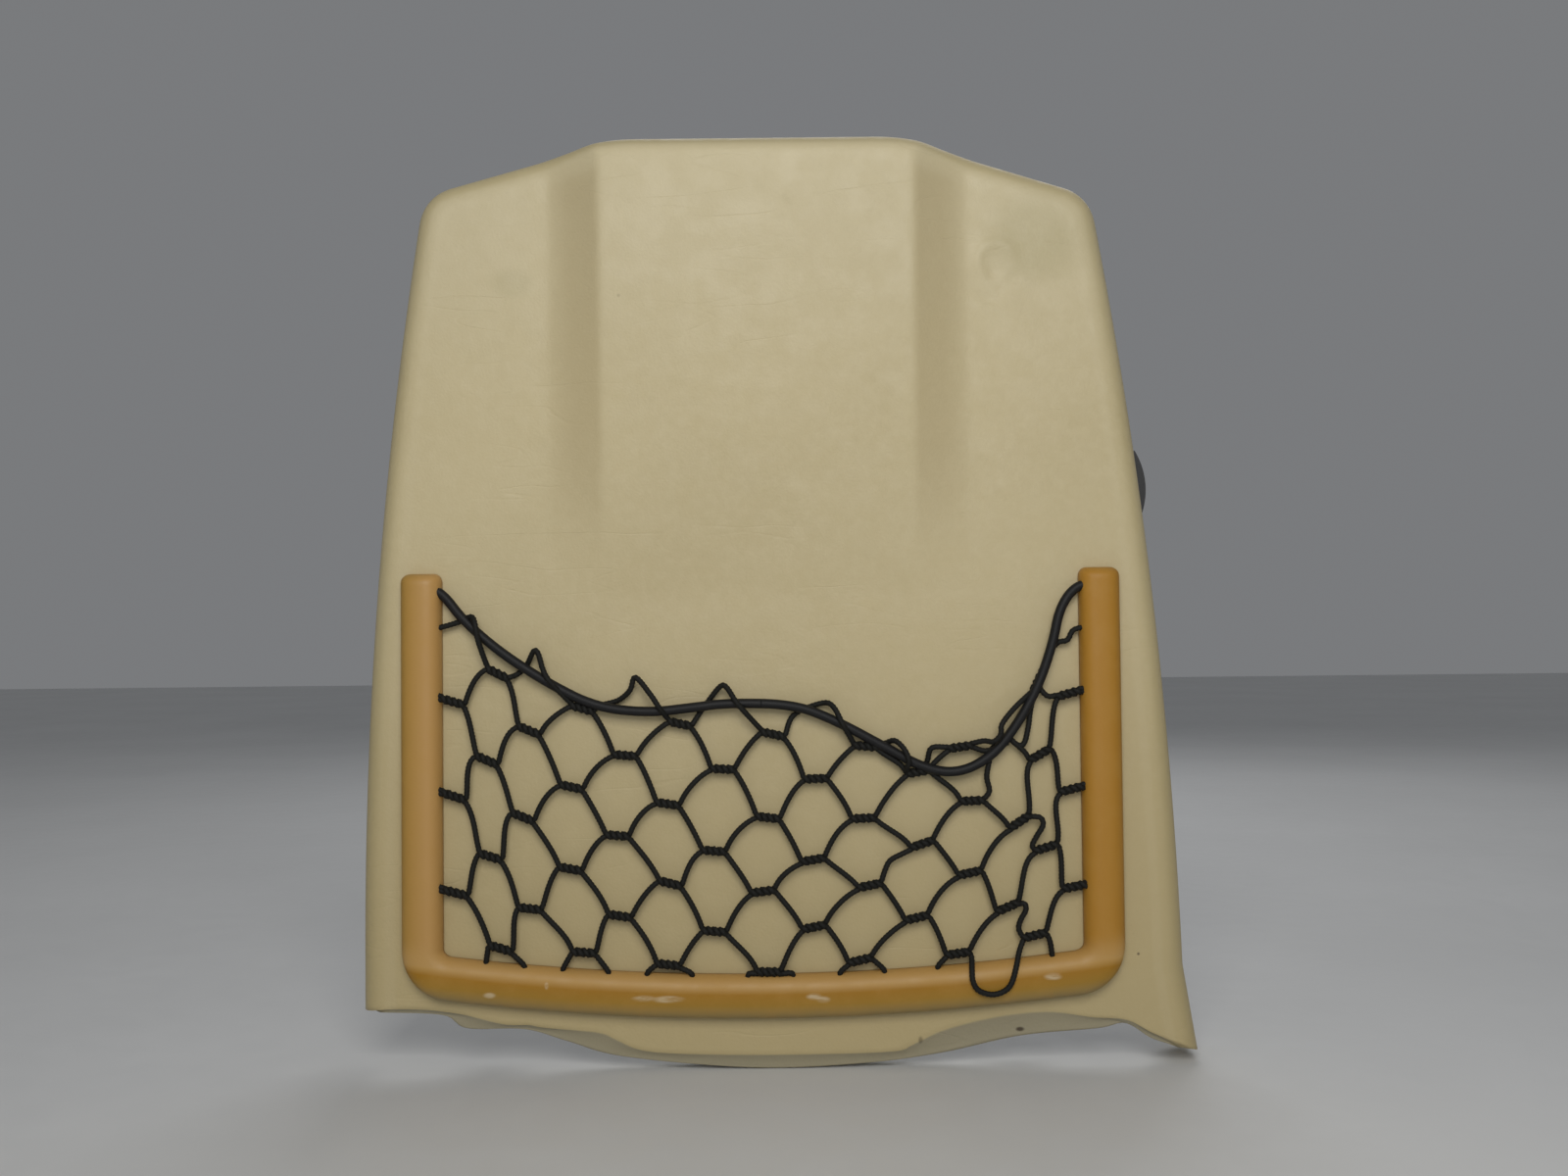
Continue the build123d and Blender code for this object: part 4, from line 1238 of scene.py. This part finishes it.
def amber_plastic():
    n = Nodes("amber_plastic")
    x, _, z = n.split()
    # painted light and shade across the arms
    arms = n.ramp(n.span(x, -0.23, 0.23, smooth=False), *ARM_PAINTED_LIGHT)
    arc_height = n.times(n.times(x, x), 0.5 / (RAIL_ARC_R * MM))
    above_edge = n.maths("SUBTRACT", z, arc_height)
    # painted reflection and highlight across the rail
    rail = n.ramp(n.span(above_edge, -0.001, 0.023, smooth=False), *RAIL_PAINTED_LIGHT)
    on_rail = n.span(above_edge, 0.040, 0.020)
    base = n.mix(on_rail, arms, rail)
    blotch = n.span(n.noise(55.0, 4.0, 0.6), 0.4, 0.75, 0.0, 0.25)
    base = n.mix(blotch, base, (0.47, 0.26, 0.06))
    worn = n.noise(300.0, 3.0, 0.6, n.stretched((0.3, 1.0, 1.6)))
    for point, reach, strength in SCUFFS:
        patch = n.times(n.spot(point, reach), n.span(worn, 0.35, 0.62, 0.35 * strength, strength))
        base = n.mix(patch, base, (0.66, 0.55, 0.37))
    n.colour(base)
    n.roughness(n.span(n.noise(90.0, 4.0, 0.6), 0.3, 0.7, 0.42, 0.56))
    n.set(Specular_IOR_Level=0.32)
    height = n.maths("ADD", n.noise(420.0, 3.0, 0.5), n.times(n.noise(60.0, 2.0, 0.5), 0.6))
    n.bump(height, 0.10, 0.5)
    return n.material


def black_twine(name, tint, rough):
    n = Nodes(name)
    fibre = n.noise(2600.0, 2.0, 0.6, n.stretched((1.0, 1.0, 0.5)))
    base = n.ramp(fibre, (0.30, tuple(0.45 * c for c in tint)), (0.72, tint))
    dust = n.span(n.noise(240.0, 4.0, 0.7), 0.58, 0.78, 0.0, 0.35)
    n.colour(n.mix(dust, base, (0.030, 0.027, 0.020)))
    n.roughness(n.span(fibre, 0.3, 0.7, rough, rough + 0.15))
    n.set(Specular_IOR_Level=0.28)
    n.bump(fibre, 0.12, 0.7)
    return n.material


def plain_surface(name, dark, light, scale, rough, metallic=0.0, bump=0.1, stretch=(1.0, 1.0, 1.0)):
    """A surface with mottled colour, uneven gloss and a fine texture."""
    n = Nodes(name)
    placed = n.stretched(stretch)
    pattern = n.noise(scale, 4.0, 0.6, placed)
    patches = n.noise(scale * 0.06, 3.0, 0.5)
    base = n.ramp(pattern, (0.3, dark), (0.7, light))
    shade = tuple(0.5 * (a + b) * 0.72 for a, b in zip(dark, light))
    n.colour(n.mix(n.span(patches, 0.45, 0.75, 0.0, 0.5), base, shade))
    n.roughness(n.span(pattern, 0.3, 0.7, rough[0], rough[1]))
    n.set(Metallic=metallic)
    n.bump(pattern, bump, 0.6)
    return n.material


MATERIALS = {
    "leatherette": leatherette(),
    "amber_plastic": amber_plastic(),
    "net_cord": black_twine("net_cord", (0.010, 0.010, 0.008), 0.62),
    "elastic": black_twine("elastic", (0.012, 0.012, 0.013), 0.46),
    "foam": plain_surface("foam", (0.55, 0.50, 0.34), (0.70, 0.66, 0.48), 900, (0.85, 0.98), bump=0.5),
    "shell": plain_surface("shell", (0.028, 0.026, 0.022), (0.060, 0.056, 0.050), 700,
                           (0.55, 0.75), bump=0.25),
    "steel": plain_surface("steel", (0.42, 0.41, 0.38), (0.62, 0.61, 0.58), 500, (0.26, 0.42), 1.0, 0.04,
                           (0.15, 1.0, 1.0)),
    "black_plastic": plain_surface("black_plastic", (0.010, 0.010, 0.011), (0.022, 0.022, 0.024), 800,
                                   (0.35, 0.5), bump=0.08),
    "felt": plain_surface("felt", (0.050, 0.046, 0.041), (0.115, 0.106, 0.096), 1400, (0.9, 1.0), bump=0.6),
}


def paint(item, slot):
    item.data.materials.clear()
    item.data.materials.append(MATERIALS[slot])


for slot, slot_pieces in (
    ("leatherette", [cover]), ("foam", [foam]), ("amber_plastic", [moulding]), ("felt", [felt_pads]),
    ("net_cord", [net_left, net_right, edge_cord]), ("elastic", [elastic_left, elastic_right]),
):
    for piece in slot_pieces:
        paint(piece, slot)

slot_of = {row["node"]: row["material_slot"] for row in frame["record"]["subparts"]}
for node, item in frame["nodes"].items():
    for material_slot in item.material_slots:
        material_slot.material = MATERIALS[slot_of[node]]

# ------------ floor, light and world

floor = new_object("floor", [(-6, -6, 0), (6, -6, 0), (6, 6, 0), (-6, 6, 0)], [(0, 1, 2, 3)])
floor.location.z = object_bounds()[0].z - 0.0005
n = Nodes("pale_floor")
n.colour(n.ramp(n.noise(3.0, 3.0, 0.5), (0.3, (0.64, 0.645, 0.645)), (0.7, (0.68, 0.685, 0.685))))
n.roughness(n.span(n.noise(40.0, 2.0, 0.5), 0.3, 0.7, 0.55, 0.7))
floor.data.materials.append(n.material)


# name, place, aim and size in metres, watts and colour
LIGHTS = [
    ("key", (0.02, -1.12, 0.78), (0, 0, 0.28), (0.70, 0.60), 7.3, (1.0, 0.985, 0.95)),
    ("fill", (0.1, -1.7, 0.45), (0, 0, 0.26), (0.8, 0.8), 2.7, (0.95, 0.975, 1.0)),
    ("behind", (0.3, 1.5, 1.5), (0, 0, 0.1), (1.4, 1.0), 9.0, (1.0, 1.0, 1.0)),
]


def soft_light(name, place, aim, size, power, colour):
    data = bpy.data.lights.new(name, "AREA")
    data.shape = "RECTANGLE"
    data.size, data.size_y = size
    data.energy = power
    data.color = colour
    lamp = bpy.data.objects.new(name, data)
    bpy.context.scene.collection.objects.link(lamp)
    lamp.location = place
    lamp.rotation_euler = (Vector(aim) - Vector(place)).to_track_quat("-Z", "Y").to_euler()
    return lamp


for light in LIGHTS:
    soft_light(*light)

world = bpy.data.worlds.new("studio")
bpy.context.scene.world = world
world.use_nodes = True
background = world.node_tree.nodes["Background"]
background.inputs["Color"].default_value = (0.80, 0.82, 0.85, 1.0)
background.inputs["Strength"].default_value = 0.24
bpy.context.scene.view_settings.view_transform = "Standard"
